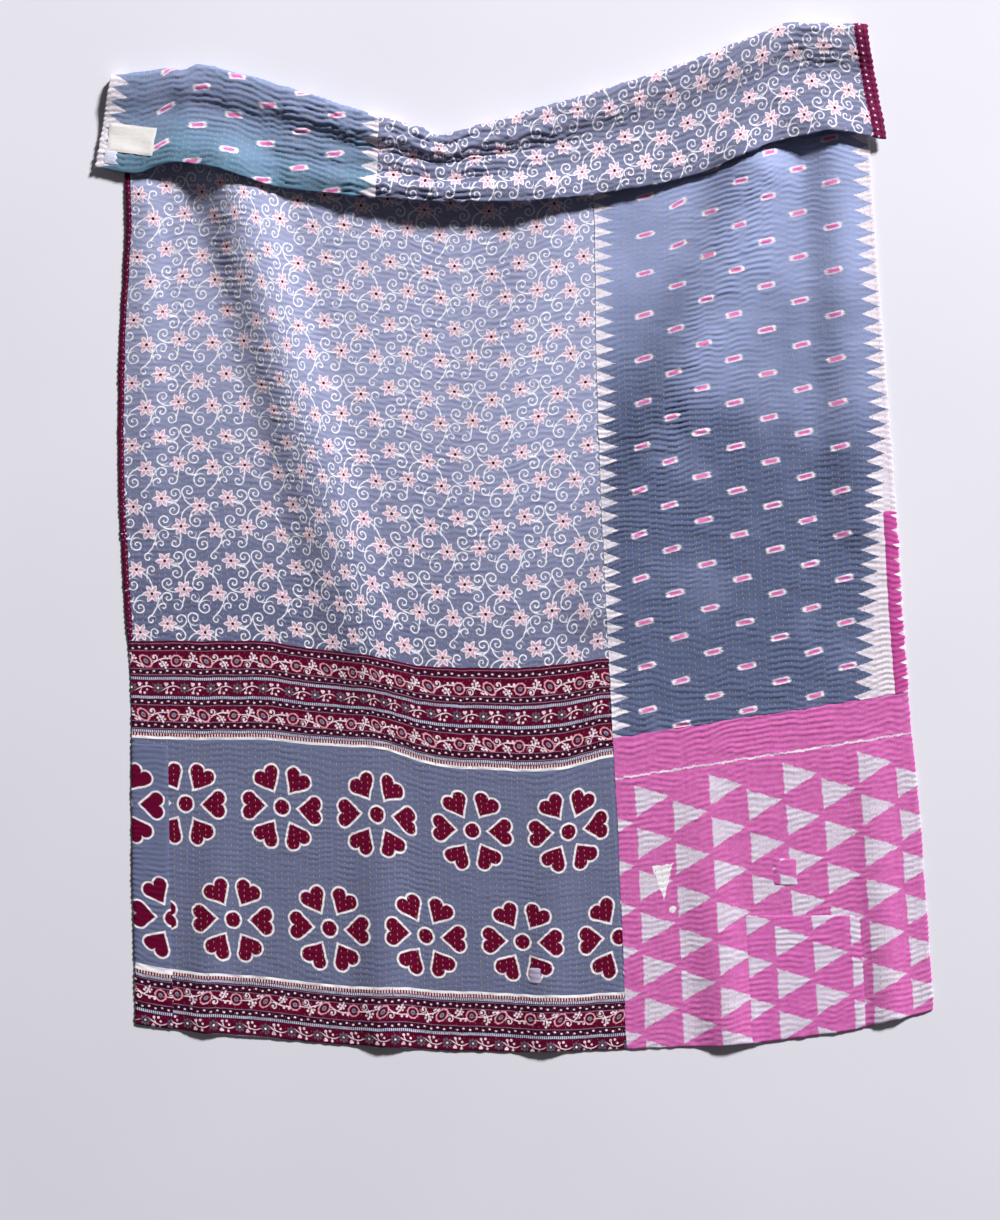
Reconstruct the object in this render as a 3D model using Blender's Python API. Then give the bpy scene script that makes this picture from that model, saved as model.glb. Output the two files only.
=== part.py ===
"""A patchwork kantha quilt, laid out on a flat surface with its head end turned down over the face.

Units are metres and +Z is up. The quilt's foot is towards -Y and its head towards +Y. The origin
lies on the surface, under the middle of the quilt's outline. The quilt is one cloth: it runs from
the foot hem up to the head fold, rolls over there, and comes back over itself to its free lip.
"""

import math

import bpy
from mathutils import Vector

# The stitched layers of old cotton are this thick together.
CLOTH = 0.003

# Half the width of the hollow in the head fold, measured at the middle of the cloth.
ROLL_RADIUS = 0.0105

# Free air between the body of the quilt and the part that is turned down over it.
LAYER_GAP = 0.003

# The turned-down cloth sinks from the roll onto the body within this distance.
SETTLE_LENGTH = 0.085

# Where the three cross edges of the quilt begin and end, from left to right.
HEM_LEFT, HEM_RIGHT = -0.664, 0.735
FOLD_LEFT, FOLD_RIGHT = -0.708, 0.616
LIP_LEFT, LIP_RIGHT = -0.735, 0.650

# Stations across the quilt, from its left edge (0) to its right edge (1): where the foot hem, the
# head fold and the free lip lie along Y, and how far the lip stands up from the body.
STATION_COLUMNS = ("share", "hem_y", "fold_y", "lip_y", "lip_lift")
STATIONS = (
    (0.000, -0.853, 0.812, 0.652, 0.003),
    (0.050, -0.864, 0.818, 0.640, 0.006),
    (0.075, -0.868, 0.823, 0.650, 0.014),
    (0.098, -0.872, 0.820, 0.657, 0.021),
    (0.116, -0.874, 0.832, 0.656, 0.020),
    (0.145, -0.877, 0.822, 0.649, 0.015),
    (0.220, -0.885, 0.795, 0.619, 0.007),
    (0.330, -0.896, 0.749, 0.600, 0.018),
    (0.405, -0.901, 0.719, 0.591, 0.026),
    (0.432, -0.902, 0.705, 0.588, 0.028),
    (0.470, -0.903, 0.716, 0.589, 0.028),
    (0.540, -0.901, 0.743, 0.588, 0.026),
    (0.640, -0.897, 0.780, 0.604, 0.018),
    (0.760, -0.889, 0.832, 0.638, 0.006),
    (0.860, -0.872, 0.884, 0.694, 0.012),
    (0.893, -0.866, 0.902, 0.705, 0.020),
    (0.935, -0.852, 0.902, 0.712, 0.023),
    (1.000, -0.830, 0.900, 0.701, 0.008),
)

# How far the two side edges of the body bow to the right of a straight line, from hem to fold.
SIDE_COLUMNS = ("share", "left", "right")
SIDES = (
    (0.00, 0.000, 0.000),
    (0.20, 0.002, 0.000),
    (0.35, 0.006, -0.007),
    (0.57, -0.004, -0.005),
    (0.72, 0.004, -0.007),
    (0.88, 0.022, -0.007),
    (1.00, 0.000, 0.000),
)

# Soft ridges that the hanging cloth kept when it was laid down. Each runs from a foot point to a
# head point, with a height at either end, and fades out at half_width from its line.
RIDGE_COLUMNS = ("foot_x", "foot_y", "head_x", "head_y", "half_width", "foot_height", "head_height")
RIDGES = (
    (-0.250, -0.240, -0.500, 0.640, 0.090, 0.008, 0.030),
    (0.150, -0.110, 0.420, 0.640, 0.095, 0.010, 0.030),
    (-0.080, 0.030, 0.060, 0.560, 0.110, 0.003, 0.012),
    (0.600, 0.030, 0.560, 0.680, 0.065, 0.008, 0.016),
    (-0.641, 0.030, -0.650, 0.600, 0.050, 0.003, 0.008),
    (-0.545, -0.849, -0.518, -0.462, 0.055, 0.008, 0.002),
    (-0.228, -0.875, -0.237, -0.427, 0.065, 0.011, 0.002),
    (0.054, -0.893, 0.080, -0.462, 0.060, 0.009, 0.002),
    (0.379, -0.884, 0.326, -0.462, 0.065, 0.012, 0.002),
    (0.661, -0.840, 0.626, -0.392, 0.050, 0.010, 0.003),
)

# Rolls that lie across the turned-down cloth where it is bunched, with their height there.
BUNCH_COLUMNS = ("share", "height")
BUNCHES = (
    (0.00, 0.001),
    (0.16, 0.002),
    (0.30, 0.004),
    (0.43, 0.007),
    (0.56, 0.005),
    (0.70, 0.001),
    (0.85, 0.002),
    (1.00, 0.001),
)
BUNCH_COUNT = 3

# The tuck in the turned-down cloth near its left end, where it was gripped.
TUCK_SHARE = 0.107
TUCK_WIDTH = 0.030
TUCK_DEPTH = 0.005

# Facets of the quilt's solid.
COLUMNS = 56
BODY_ROWS = 24
ROLL_ROWS = 6
FLAP_ROWS = 11

# The sewn-on label and the small tab below it.
LABEL_SIZE = (0.081, 0.051)
LABEL_CENTRE = (-0.673, 0.700)
LABEL_TURN = math.radians(-7.0)
LABEL_THICKNESS = 0.0006
TAB_SIZE = (0.021, 0.018)
TAB_CENTRE = (-0.709, 0.6645)
TAB_TURN = math.radians(-6.0)
TAB_THICKNESS = 0.0005
SEWN_GAP = 0.0006
LABEL_FACET = 0.010

COLOURS = {
    "quilt": (0.24, 0.25, 0.38, 1.0),
    "label": (0.80, 0.76, 0.66, 1.0),
    "label_tab": (0.66, 0.72, 0.88, 1.0),
}


def clear_scene():
    for obj in list(bpy.data.objects):
        bpy.data.objects.remove(obj, do_unlink=True)


def soft_step(share):
    """Rises smoothly from 0 to 1 as share does, and is level outside that."""
    share = min(max(share, 0.0), 1.0)
    return share * share * (3.0 - 2.0 * share)


def mix(low, high, share):
    return low + (high - low) * share


def read_curve(rows, columns, name, share):
    """The value of a named column at a share, on a smooth curve through the table's rows."""
    column = columns.index(name)
    last = len(rows) - 1
    index = max(i for i in range(last) if rows[i][0] <= max(share, 0.0))

    def slope(i):
        before, after = rows[max(i - 1, 0)], rows[min(i + 1, last)]
        return (after[column] - before[column]) / (after[0] - before[0])

    start, end = rows[index], rows[index + 1]
    span = end[0] - start[0]
    t = (share - start[0]) / span
    rise = 3 * t * t - 2 * t * t * t
    leave = t * (1 - t) * (1 - t) * span * slope(index)
    arrive = t * t * (t - 1) * span * slope(index + 1)
    return mix(start[column], end[column], rise) + leave + arrive


def station(name, across):
    return read_curve(STATIONS, STATION_COLUMNS, name, across)


def ridge_height(x, y):
    """How far the body of the quilt is raised off the surface at a place."""
    total = 0.0
    place = Vector((x, y))
    for row in RIDGES:
        ridge = dict(zip(RIDGE_COLUMNS, row))
        foot = Vector((ridge["foot_x"], ridge["foot_y"]))
        line = Vector((ridge["head_x"], ridge["head_y"])) - foot
        share = min(max((place - foot).dot(line) / line.length_squared, 0.0), 1.0)
        away = (place - foot - line * share).length / ridge["half_width"]
        if away < 1.0:
            height = mix(ridge["foot_height"], ridge["head_height"], share)
            total += height * 0.5 * (1.0 + math.cos(math.pi * away))
    return total


def roll_centre(across):
    """Where the roll of the head fold is centred along Y: the body ends under it."""
    return station("fold_y", across) - ROLL_RADIUS - CLOTH / 2


def body_point(across, up):
    """The middle of the cloth on the body, from the hem (up 0) to the fold (up 1)."""
    y = mix(station("hem_y", across), roll_centre(across), up)
    left = mix(HEM_LEFT, FOLD_LEFT, up) + read_curve(SIDES, SIDE_COLUMNS, "left", up)
    right = mix(HEM_RIGHT, FOLD_RIGHT, up) + read_curve(SIDES, SIDE_COLUMNS, "right", up)
    x = mix(left, right, across)
    return Vector((x, y, ridge_height(x, y) + CLOTH / 2))


def roll_point(across, turn):
    """The middle of the cloth on the roll of the fold, from the body (turn 0) to the flap (turn 1)."""
    x, y, z = body_point(across, 1.0)
    angle = math.pi * (turn - 0.5)
    return Vector((x, y + ROLL_RADIUS * math.cos(angle), z + ROLL_RADIUS * (1.0 + math.sin(angle))))


def flap_point(across, down):
    """The middle of the turned-down cloth, from the roll (down 0) to the lip (down 1)."""
    start = body_point(across, 1.0)
    lip_y = station("lip_y", across)
    x = mix(start.x, mix(LIP_LEFT, LIP_RIGHT, across), down)
    y = mix(start.y, lip_y, down)
    travelled = (start.y - lip_y) * down
    resting = CLOTH + LAYER_GAP
    sinking = (2.0 * ROLL_RADIUS - resting) * (1.0 - soft_step(travelled / SETTLE_LENGTH))
    lifting = station("lip_lift", across) * soft_step((down - 0.35) / 0.65)
    bunch = read_curve(BUNCHES, BUNCH_COLUMNS, "height", across)
    waves = 0.5 * (1.0 - math.cos(2.0 * math.pi * BUNCH_COUNT * down))
    tuck_away = abs(across - TUCK_SHARE) * (LIP_RIGHT - LIP_LEFT) / TUCK_WIDTH
    tuck = TUCK_DEPTH * max(0.0, 1.0 - tuck_away) * (1.0 - soft_step(down / 0.5)) * soft_step(down / 0.1)
    height = resting + sinking + lifting + bunch * waves * soft_step(down / 0.2) + tuck
    return Vector((x, y, ridge_height(x, y) + CLOTH / 2 + height))


def cloth_rows():
    """Every row of points, from the foot hem to the free lip."""
    shares = [column / COLUMNS for column in range(COLUMNS + 1)]
    rows = [[body_point(a, r / BODY_ROWS) for a in shares] for r in range(BODY_ROWS + 1)]
    rows += [[roll_point(a, r / ROLL_ROWS) for a in shares] for r in range(1, ROLL_ROWS)]
    rows += [[flap_point(a, r / FLAP_ROWS) for a in shares] for r in range(FLAP_ROWS + 1)]
    return rows


def mesh_of_rows(name, rows):
    """A sheet mesh whose faces join each row of points to the next."""
    width = len(rows[0])
    points = [tuple(point) for row in rows for point in row]
    faces = []
    for r in range(len(rows) - 1):
        for c in range(width - 1):
            low = r * width + c
            faces.append((low, low + 1, low + 1 + width, low + width))
    mesh = bpy.data.meshes.new(name)
    mesh.from_pydata(points, [], faces)
    mesh.update()
    mesh.shade_smooth()
    return mesh


def paint(obj, roughness):
    material = bpy.data.materials.new(obj.name + "_cotton")
    material.use_nodes = True
    shader = material.node_tree.nodes["Principled BSDF"]
    shader.inputs["Base Color"].default_value = COLOURS[obj.name]
    shader.inputs["Roughness"].default_value = roughness
    shader.inputs["Metallic"].default_value = 0.0
    obj.data.materials.append(material)


def thicken(obj, thickness, offset):
    solid = obj.modifiers.new("thickness", "SOLIDIFY")
    solid.thickness = thickness
    solid.offset = offset
    solid.use_even_offset = True
    solid.use_rim = True


def make_quilt():
    quilt = bpy.data.objects.new("quilt", mesh_of_rows("quilt", cloth_rows()))
    bpy.context.scene.collection.objects.link(quilt)
    thicken(quilt, CLOTH, 0.0)
    paint(quilt, 0.9)
    return quilt


def make_sewn_patch(name, quilt, size, centre, turn, thickness):
    """A small rectangle of cloth that follows the turned-down cloth it is sewn to."""
    columns = max(1, round(size[0] / LABEL_FACET))
    lines = max(1, round(size[1] / LABEL_FACET))
    above = 0.2
    rows = []
    for r in range(lines + 1):
        row = []
        for c in range(columns + 1):
            along = (c / columns - 0.5) * size[0]
            up = (r / lines - 0.5) * size[1]
            x = centre[0] + along * math.cos(turn) - up * math.sin(turn)
            y = centre[1] + along * math.sin(turn) + up * math.cos(turn)
            row.append((x, y, above))
        rows.append(row)
    patch = bpy.data.objects.new(name, mesh_of_rows(name, rows))
    bpy.context.scene.collection.objects.link(patch)
    lay = patch.modifiers.new("lay", "SHRINKWRAP")
    lay.wrap_method = "PROJECT"
    lay.use_project_z = True
    lay.use_negative_direction = True
    lay.use_positive_direction = False
    lay.target = quilt
    lay.offset = SEWN_GAP
    thicken(patch, thickness, 1.0)
    paint(patch, 0.85)
    return patch


def main():
    clear_scene()
    quilt = make_quilt()
    make_sewn_patch("label", quilt, LABEL_SIZE, LABEL_CENTRE, LABEL_TURN, LABEL_THICKNESS)
    make_sewn_patch("label_tab", quilt, TAB_SIZE, TAB_CENTRE, TAB_TURN, TAB_THICKNESS)


main()
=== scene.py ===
# %% [markdown]
# # A kantha quilt, laid out with its head end turned down
#
# A kantha quilt is made of worn-out cotton saris. A few layers are laid on each other, the face
# and the back are pieced from what prints there are, and long columns of running stitch hold all
# of it together. The thread is pulled a little, so the cloth between the stitches rises in small
# puckers. This lesson builds that cloth on the shape of a plain model that is already there.
#
# We start by loading the plain model, and we keep its size, because the finished quilt has to
# stay inside it.

# %% Load the frame
import math

import bpy
import numpy as np
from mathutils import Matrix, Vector


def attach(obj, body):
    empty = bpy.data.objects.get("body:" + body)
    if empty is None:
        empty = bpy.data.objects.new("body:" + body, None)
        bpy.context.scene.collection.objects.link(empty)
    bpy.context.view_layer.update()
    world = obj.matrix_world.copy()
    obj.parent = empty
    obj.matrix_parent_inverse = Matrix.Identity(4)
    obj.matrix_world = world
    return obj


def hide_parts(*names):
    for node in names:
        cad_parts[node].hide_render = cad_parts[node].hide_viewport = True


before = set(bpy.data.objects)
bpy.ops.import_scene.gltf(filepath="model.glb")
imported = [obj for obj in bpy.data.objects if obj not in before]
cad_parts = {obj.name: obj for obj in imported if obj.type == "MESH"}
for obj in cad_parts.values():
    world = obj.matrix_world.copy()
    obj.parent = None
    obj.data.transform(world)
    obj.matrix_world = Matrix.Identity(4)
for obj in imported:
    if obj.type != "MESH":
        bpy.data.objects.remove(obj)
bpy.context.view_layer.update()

# %% [markdown]
# The camera looks straight down on the quilt, as a picture of a quilt that is laid out is taken.
# A long lens from high up keeps the near folds from looking bigger than the far ones. We give the
# height of what it sees, and work out its distance from that.

# %% The camera
PICTURE_HEIGHT = 2.147
CAMERA_LENS = 85.0
CAMERA_SENSOR = 36.0
CAMERA_AIM = (-0.0255, -0.1276)

camera_data = bpy.data.cameras.new("overhead_camera")
camera_data.lens = CAMERA_LENS
camera_data.sensor_width = CAMERA_SENSOR
camera = bpy.data.objects.new("overhead_camera", camera_data)
camera.location = (*CAMERA_AIM, PICTURE_HEIGHT * CAMERA_LENS / CAMERA_SENSOR)
bpy.context.scene.collection.objects.link(camera)
bpy.context.scene.camera = camera
print("camera height:", round(camera.location.z, 2), "m")

# %% [markdown]
# ## The way the cloth lies
#
# These sizes are the plain model's own, so the fine cloth lies where the plain one does. The
# quilt runs from its foot hem up to the head fold, rolls over there, and comes back to its lip.
# A table gives where those three edges are at some stations across the cloth, and a smooth curve
# joins the stations.

# %% Sizes of the cloth
CLOTH = 0.003
ROLL_RADIUS = 0.0105
LAYER_GAP = 0.003
SETTLE_LENGTH = 0.085
HEM_LEFT, HEM_RIGHT = -0.664, 0.735
FOLD_LEFT, FOLD_RIGHT = -0.708, 0.616
LIP_LEFT, LIP_RIGHT = -0.735, 0.650

STATION_COLUMNS = ("share", "hem_y", "fold_y", "lip_y", "lip_lift")
STATIONS = np.array((
    (0.000, -0.853, 0.812, 0.652, 0.003),
    (0.050, -0.864, 0.818, 0.640, 0.006),
    (0.075, -0.868, 0.823, 0.650, 0.014),
    (0.098, -0.872, 0.820, 0.657, 0.021),
    (0.116, -0.874, 0.832, 0.656, 0.020),
    (0.145, -0.877, 0.822, 0.649, 0.015),
    (0.220, -0.885, 0.795, 0.619, 0.007),
    (0.330, -0.896, 0.749, 0.600, 0.018),
    (0.405, -0.901, 0.719, 0.591, 0.026),
    (0.432, -0.902, 0.705, 0.588, 0.028),
    (0.470, -0.903, 0.716, 0.589, 0.028),
    (0.540, -0.901, 0.743, 0.588, 0.026),
    (0.640, -0.897, 0.780, 0.604, 0.018),
    (0.760, -0.889, 0.832, 0.638, 0.006),
    (0.860, -0.872, 0.884, 0.694, 0.012),
    (0.893, -0.866, 0.902, 0.705, 0.020),
    (0.935, -0.852, 0.902, 0.712, 0.023),
    (1.000, -0.830, 0.900, 0.701, 0.008),
))
SIDE_COLUMNS = ("share", "left", "right")
SIDES = np.array((
    (0.00, 0.000, 0.000),
    (0.20, 0.002, 0.000),
    (0.35, 0.006, -0.007),
    (0.57, -0.004, -0.005),
    (0.72, 0.004, -0.007),
    (0.88, 0.022, -0.007),
    (1.00, 0.000, 0.000),
))
RIDGE_COLUMNS = ("foot_x", "foot_y", "head_x", "head_y", "half_width", "foot_height", "head_height")
RIDGES = (
    (-0.250, -0.240, -0.500, 0.640, 0.090, 0.008, 0.030),
    (0.150, -0.110, 0.420, 0.640, 0.095, 0.010, 0.030),
    (-0.080, 0.030, 0.060, 0.560, 0.110, 0.003, 0.012),
    (0.600, 0.030, 0.560, 0.680, 0.065, 0.008, 0.016),
    (-0.641, 0.030, -0.650, 0.600, 0.050, 0.003, 0.008),
    (-0.545, -0.849, -0.518, -0.462, 0.055, 0.008, 0.002),
    (-0.228, -0.875, -0.237, -0.427, 0.065, 0.011, 0.002),
    (0.054, -0.893, 0.080, -0.462, 0.060, 0.009, 0.002),
    (0.379, -0.884, 0.326, -0.462, 0.065, 0.012, 0.002),
    (0.661, -0.840, 0.626, -0.392, 0.050, 0.010, 0.003),
)
BUNCH_COLUMNS = ("share", "height")
BUNCHES = np.array((
    (0.00, 0.001),
    (0.16, 0.002),
    (0.30, 0.004),
    (0.43, 0.007),
    (0.56, 0.005),
    (0.70, 0.001),
    (0.85, 0.002),
    (1.00, 0.001),
))
BUNCH_COUNT = 3
TUCK_SHARE = 0.107
TUCK_WIDTH = 0.030
TUCK_DEPTH = 0.005


def mix(low, high, share):
    return low + (high - low) * share


def soft_step(share):
    """Rises smoothly from 0 to 1 as share does, and is level outside that."""
    share = np.clip(share, 0.0, 1.0)
    return share * share * (3.0 - 2.0 * share)


def read_curve(rows, columns, name, share):
    """A named column's value at each share, on a smooth curve through the table's rows."""
    stops, values = rows[:, 0], rows[:, columns.index(name)]
    share = np.clip(share, 0.0, 1.0)
    index = np.clip(np.searchsorted(stops, share, side="right") - 1, 0, len(stops) - 2)
    before = np.maximum(np.arange(len(stops)) - 1, 0)
    after = np.minimum(np.arange(len(stops)) + 1, len(stops) - 1)
    slopes = (values[after] - values[before]) / (stops[after] - stops[before])
    span = stops[index + 1] - stops[index]
    t = (share - stops[index]) / span
    rise = 3 * t**2 - 2 * t**3
    leave = t * (1 - t) ** 2 * span * slopes[index]
    arrive = t**2 * (t - 1) * span * slopes[index + 1]
    return mix(values[index], values[index + 1], rise) + leave + arrive


def station(name, across):
    return read_curve(STATIONS, STATION_COLUMNS, name, across)


print("the hem's middle is at y =", round(float(station("hem_y", 0.5)), 3))

# %% [markdown]
# The hand that held the cloth left soft ridges in it. Each is a line from a foot to a head with
# a rounded cross-section, and the cloth's height is the sum of them. We write it with numpy, so
# that one call works out a few hundred thousand points.

# %% The height of the ridges


def ridge_share(ridge, x, y):
    """How far along a ridge each place lies (0 to 1), and how far beside its line."""
    line_x, line_y = ridge["head_x"] - ridge["foot_x"], ridge["head_y"] - ridge["foot_y"]
    length = math.hypot(line_x, line_y)
    off_x, off_y = x - ridge["foot_x"], y - ridge["foot_y"]
    along = (off_x * line_x + off_y * line_y) / length**2
    beside = (off_x * line_y - off_y * line_x) / length
    return along, beside


def ridge_height(x, y):
    total = np.zeros(np.broadcast(x, y).shape)
    for row in RIDGES:
        ridge = dict(zip(RIDGE_COLUMNS, row))
        along, beside = ridge_share(ridge, x, y)
        length = math.hypot(ridge["head_x"] - ridge["foot_x"], ridge["head_y"] - ridge["foot_y"])
        share = np.clip(along, 0.0, 1.0)
        away = np.hypot(beside, (along - share) * length) / ridge["half_width"]
        bump = 0.5 * (1.0 + np.cos(math.pi * np.minimum(away, 1.0)))
        total = total + mix(ridge["foot_height"], ridge["head_height"], share) * bump
    return total


def roll_centre(across):
    return station("fold_y", across) - ROLL_RADIUS - CLOTH / 2


def body_place(across, y):
    """The middle of the cloth on the body, at a share across it and a place up it."""
    up = (y - station("hem_y", across)) / (roll_centre(across) - station("hem_y", across))
    left = mix(HEM_LEFT, FOLD_LEFT, up) + read_curve(SIDES, SIDE_COLUMNS, "left", up)
    right = mix(HEM_RIGHT, FOLD_RIGHT, up) + read_curve(SIDES, SIDE_COLUMNS, "right", up)
    x = mix(left, right, across)
    return np.stack(np.broadcast_arrays(x, y, ridge_height(x, y) + CLOTH / 2), axis=-1)


def roll_place(across, turn):
    """The middle of the cloth on the roll, from the body (turn 0) to the turned-down end (1)."""
    start = body_place(across, roll_centre(across))
    angle = math.pi * (turn - 0.5)
    y = start[..., 1] + ROLL_RADIUS * np.cos(angle)
    z = start[..., 2] + ROLL_RADIUS * (1.0 + np.sin(angle))
    return np.stack(np.broadcast_arrays(start[..., 0], y, z), axis=-1)


def turned_place(across, down):
    """The middle of the turned-down cloth, from the roll (down 0) to its lip (down 1)."""
    start = body_place(across, roll_centre(across))
    lip_y = station("lip_y", across)
    x = mix(start[..., 0], mix(LIP_LEFT, LIP_RIGHT, across), down)
    y = mix(start[..., 1], lip_y, down)
    travelled = (start[..., 1] - lip_y) * down
    resting = CLOTH + LAYER_GAP
    sinking = (2.0 * ROLL_RADIUS - resting) * (1.0 - soft_step(travelled / SETTLE_LENGTH))
    lifting = station("lip_lift", across) * soft_step((down - 0.35) / 0.65)
    bunch = read_curve(BUNCHES, BUNCH_COLUMNS, "height", across) * soft_step(down / 0.2)
    waves = 0.5 * (1.0 - np.cos(2.0 * math.pi * BUNCH_COUNT * down))
    beside_tuck = np.abs(across - TUCK_SHARE) * (LIP_RIGHT - LIP_LEFT) / TUCK_WIDTH
    tuck = TUCK_DEPTH * np.maximum(0.0, 1.0 - beside_tuck)
    tuck = tuck * (1.0 - soft_step(down / 0.5)) * soft_step(down / 0.1)
    height = resting + sinking + lifting + bunch * waves + tuck
    z = ridge_height(x, y) + CLOTH / 2 + height
    return np.stack(np.broadcast_arrays(x, y, z), axis=-1)


print("the lip's middle is", round(float(turned_place(0.5, 1.0)[2]) * 1000), "mm up")

# %% [markdown]
# ## Where things are on the cloth
#
# A print and a row of stitches belong to the cloth, not to the floor, so each point of the cloth
# gets its own place on it: a distance across and a distance up, in metres. The crosswise threads
# sag a little towards the middle of the quilt, as the hem does, and the big ridges take in more
# cloth than their outline shows, so a print is squeezed together there.

# %% The crosswise lines and what the ridges take in
SAG_LEVELS = {"floral": 0.200, "border_top": -0.182, "border_foot": -0.358, "foot": -0.759}
SAG_COLUMNS = ("share", *SAG_LEVELS)
FACE_SAG = np.array((
    (0.000, 0.022, 0.000, -0.006, -0.012),
    (0.030, 0.023, 0.000, -0.004, -0.003),
    (0.060, 0.022, 0.000, -0.002, 0.003),
    (0.100, 0.018, 0.000, -0.002, 0.007),
    (0.180, 0.025, 0.001, -0.001, 0.016),
    (0.220, 0.032, 0.010, 0.005, 0.023),
    (0.280, 0.038, 0.019, 0.010, 0.030),
    (0.320, 0.042, 0.027, 0.014, 0.031),
    (0.350, 0.045, 0.037, 0.027, 0.033),
    (0.375, 0.046, 0.043, 0.038, 0.037),
    (0.410, 0.050, 0.046, 0.047, 0.039),
    (0.475, 0.053, 0.048, 0.052, 0.043),
    (0.510, 0.050, 0.047, 0.054, 0.045),
    (0.553, 0.044, 0.042, 0.050, 0.045),
    (0.592, 0.038, 0.035, 0.036, 0.042),
    (0.620, 0.034, 0.031, 0.028, 0.040),
    (1.000, 0.026, 0.026, 0.026, 0.026),
))
TAKEN_IN_COLUMNS = ("ridge", "cloth", "half_width", "start", "length")
TAKEN_IN = (
    (0, 0.042, 0.062, -0.35, 0.50),
    (0, 0.018, 0.062, 0.08, 0.25),
    (1, 0.022, 0.070, -0.35, 0.50),
)


def taken_in(x, y, share):
    """How much the ridges' hidden cloth moves the print, held still at a panel's two sides."""
    total = 0.0
    for row in TAKEN_IN:
        entry = dict(zip(TAKEN_IN_COLUMNS, row))
        ridge = dict(zip(RIDGE_COLUMNS, RIDGES[entry["ridge"]]))
        along, beside = ridge_share(ridge, x, y)
        strength = soft_step((along - entry["start"]) / entry["length"])
        crossed = soft_step(0.5 + 0.5 * beside / entry["half_width"])
        low, high = crossed.min(axis=-1, keepdims=True), crossed.max(axis=-1, keepdims=True)
        level = mix(low, high, share)
        total = total + entry["cloth"] * strength * (crossed - level)
    return total


# %% [markdown]
# The puckers are soft waves about one stitch long. Two smooth noises bend their crests and a
# third lets them come and go, because no two stitches by hand are the same. A stitch always lies
# in a trough, since the thread is what pulls the cloth down. Each trough is also painted darker
# in the cloth's colour, as shade.

# %% The puckers
STITCH_PITCH = 0.0101
COLUMN_PITCH = 0.0115
PUCKER_SEED = 7
# Each row below gives the ridge, the slant and the width.
SLANTS = ((1, 1.1, 0.045),)
noise_grid = np.random.default_rng(PUCKER_SEED).uniform(-1.0, 1.0, (256, 256))


def smooth_noise(u, v, width, length, shift=0):
    """Smooth hills between -1 and 1, about width by length metres each."""
    col, row = u / width + 37.3 * (shift + 1), v / length + 91.7 * (shift + 1)
    c, r = np.floor(col).astype(int), np.floor(row).astype(int)
    a, b = soft_step(col - c), soft_step(row - r)
    near = mix(noise_grid[r % 256, c % 256], noise_grid[r % 256, (c + 1) % 256], a)
    far = mix(noise_grid[(r + 1) % 256, c % 256], noise_grid[(r + 1) % 256, (c + 1) % 256], a)
    return mix(near, far, b)


def stitch_phase(u, v):
    """Counts the stitches up the cloth: a whole number is a crest and a half is a trough."""
    bend = 0.95 * smooth_noise(u, v, 0.080, 0.170) + 0.40 * smooth_noise(u, v, 0.027, 0.090, 1)
    bend = bend + 0.50 * smooth_noise(u, v, COLUMN_PITCH, 0.110, 9)
    for index, slant, width in SLANTS:
        along, beside = ridge_share(dict(zip(RIDGE_COLUMNS, RIDGES[index])), u, v)
        bend = bend - slant * np.tanh(beside / width) * soft_step((along + 0.5) / 0.5)
    return v / STITCH_PITCH + bend


def pucker(u, v):
    """How high the puckers stand, from 0 in a trough, and how deep their troughs are drawn in, which sets the shade
    painted there.
    """
    wave = 0.5 + 0.5 * np.cos(2.0 * math.pi * stitch_phase(u, v))
    patches = 0.80 + 0.52 * smooth_noise(u, v, 0.021, 0.012, 2) + 0.26 * smooth_noise(u, v, 0.070, 0.031, 8)
    patches = np.clip(patches + 0.20 * smooth_noise(u, v, 0.21, 0.17, 3), 0.05, 1.7)
    return patches * wave**0.6 - 0.35, patches * (1.0 - wave) ** 2


print("stitches in a metre:", round(1 / STITCH_PITCH))

# %% [markdown]
# ## Turning the way the cloth lies into meshes
#
# Each panel is a fine grid on one side of the cloth: two millimetres up it, so that a pucker has
# five rows, and two columns for each column of stitches. A panel that reaches the quilt's edge
# rolls over it, as a folded hem does. A lapped panel stands a little proud, and its edges dip.

# %% A grid of points becomes a mesh
ROW_PITCH = 0.0021
EDGE_TURNS = (45.0, 90.0, 135.0, 180.0)
LAP_DIP = 0.0006
EDGE_WANDER = 0.0016


def unit(vectors):
    return vectors / np.maximum(np.linalg.norm(vectors, axis=-1, keepdims=True), 1e-12)


def wander(points):
    """Moves the cloth a little in its own plane, so that no edge is straight, and onto the floor."""
    x, y, z = np.moveaxis(points, -1, 0)
    sideways = smooth_noise(0.0 * y, y, 1.0, 0.013, 4) + 0.8 * smooth_noise(0.0 * y, y, 1.0, 0.037, 6)
    upward = smooth_noise(x, 0.0 * x, 0.016, 1.0, 5) + 0.6 * smooth_noise(x, 0.0 * x, 0.045, 1.0, 7)
    return np.stack((x + EDGE_WANDER / 2 * sideways, y + EDGE_WANDER / 2 * upward, np.maximum(z, 0.0)), axis=-1)


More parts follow.
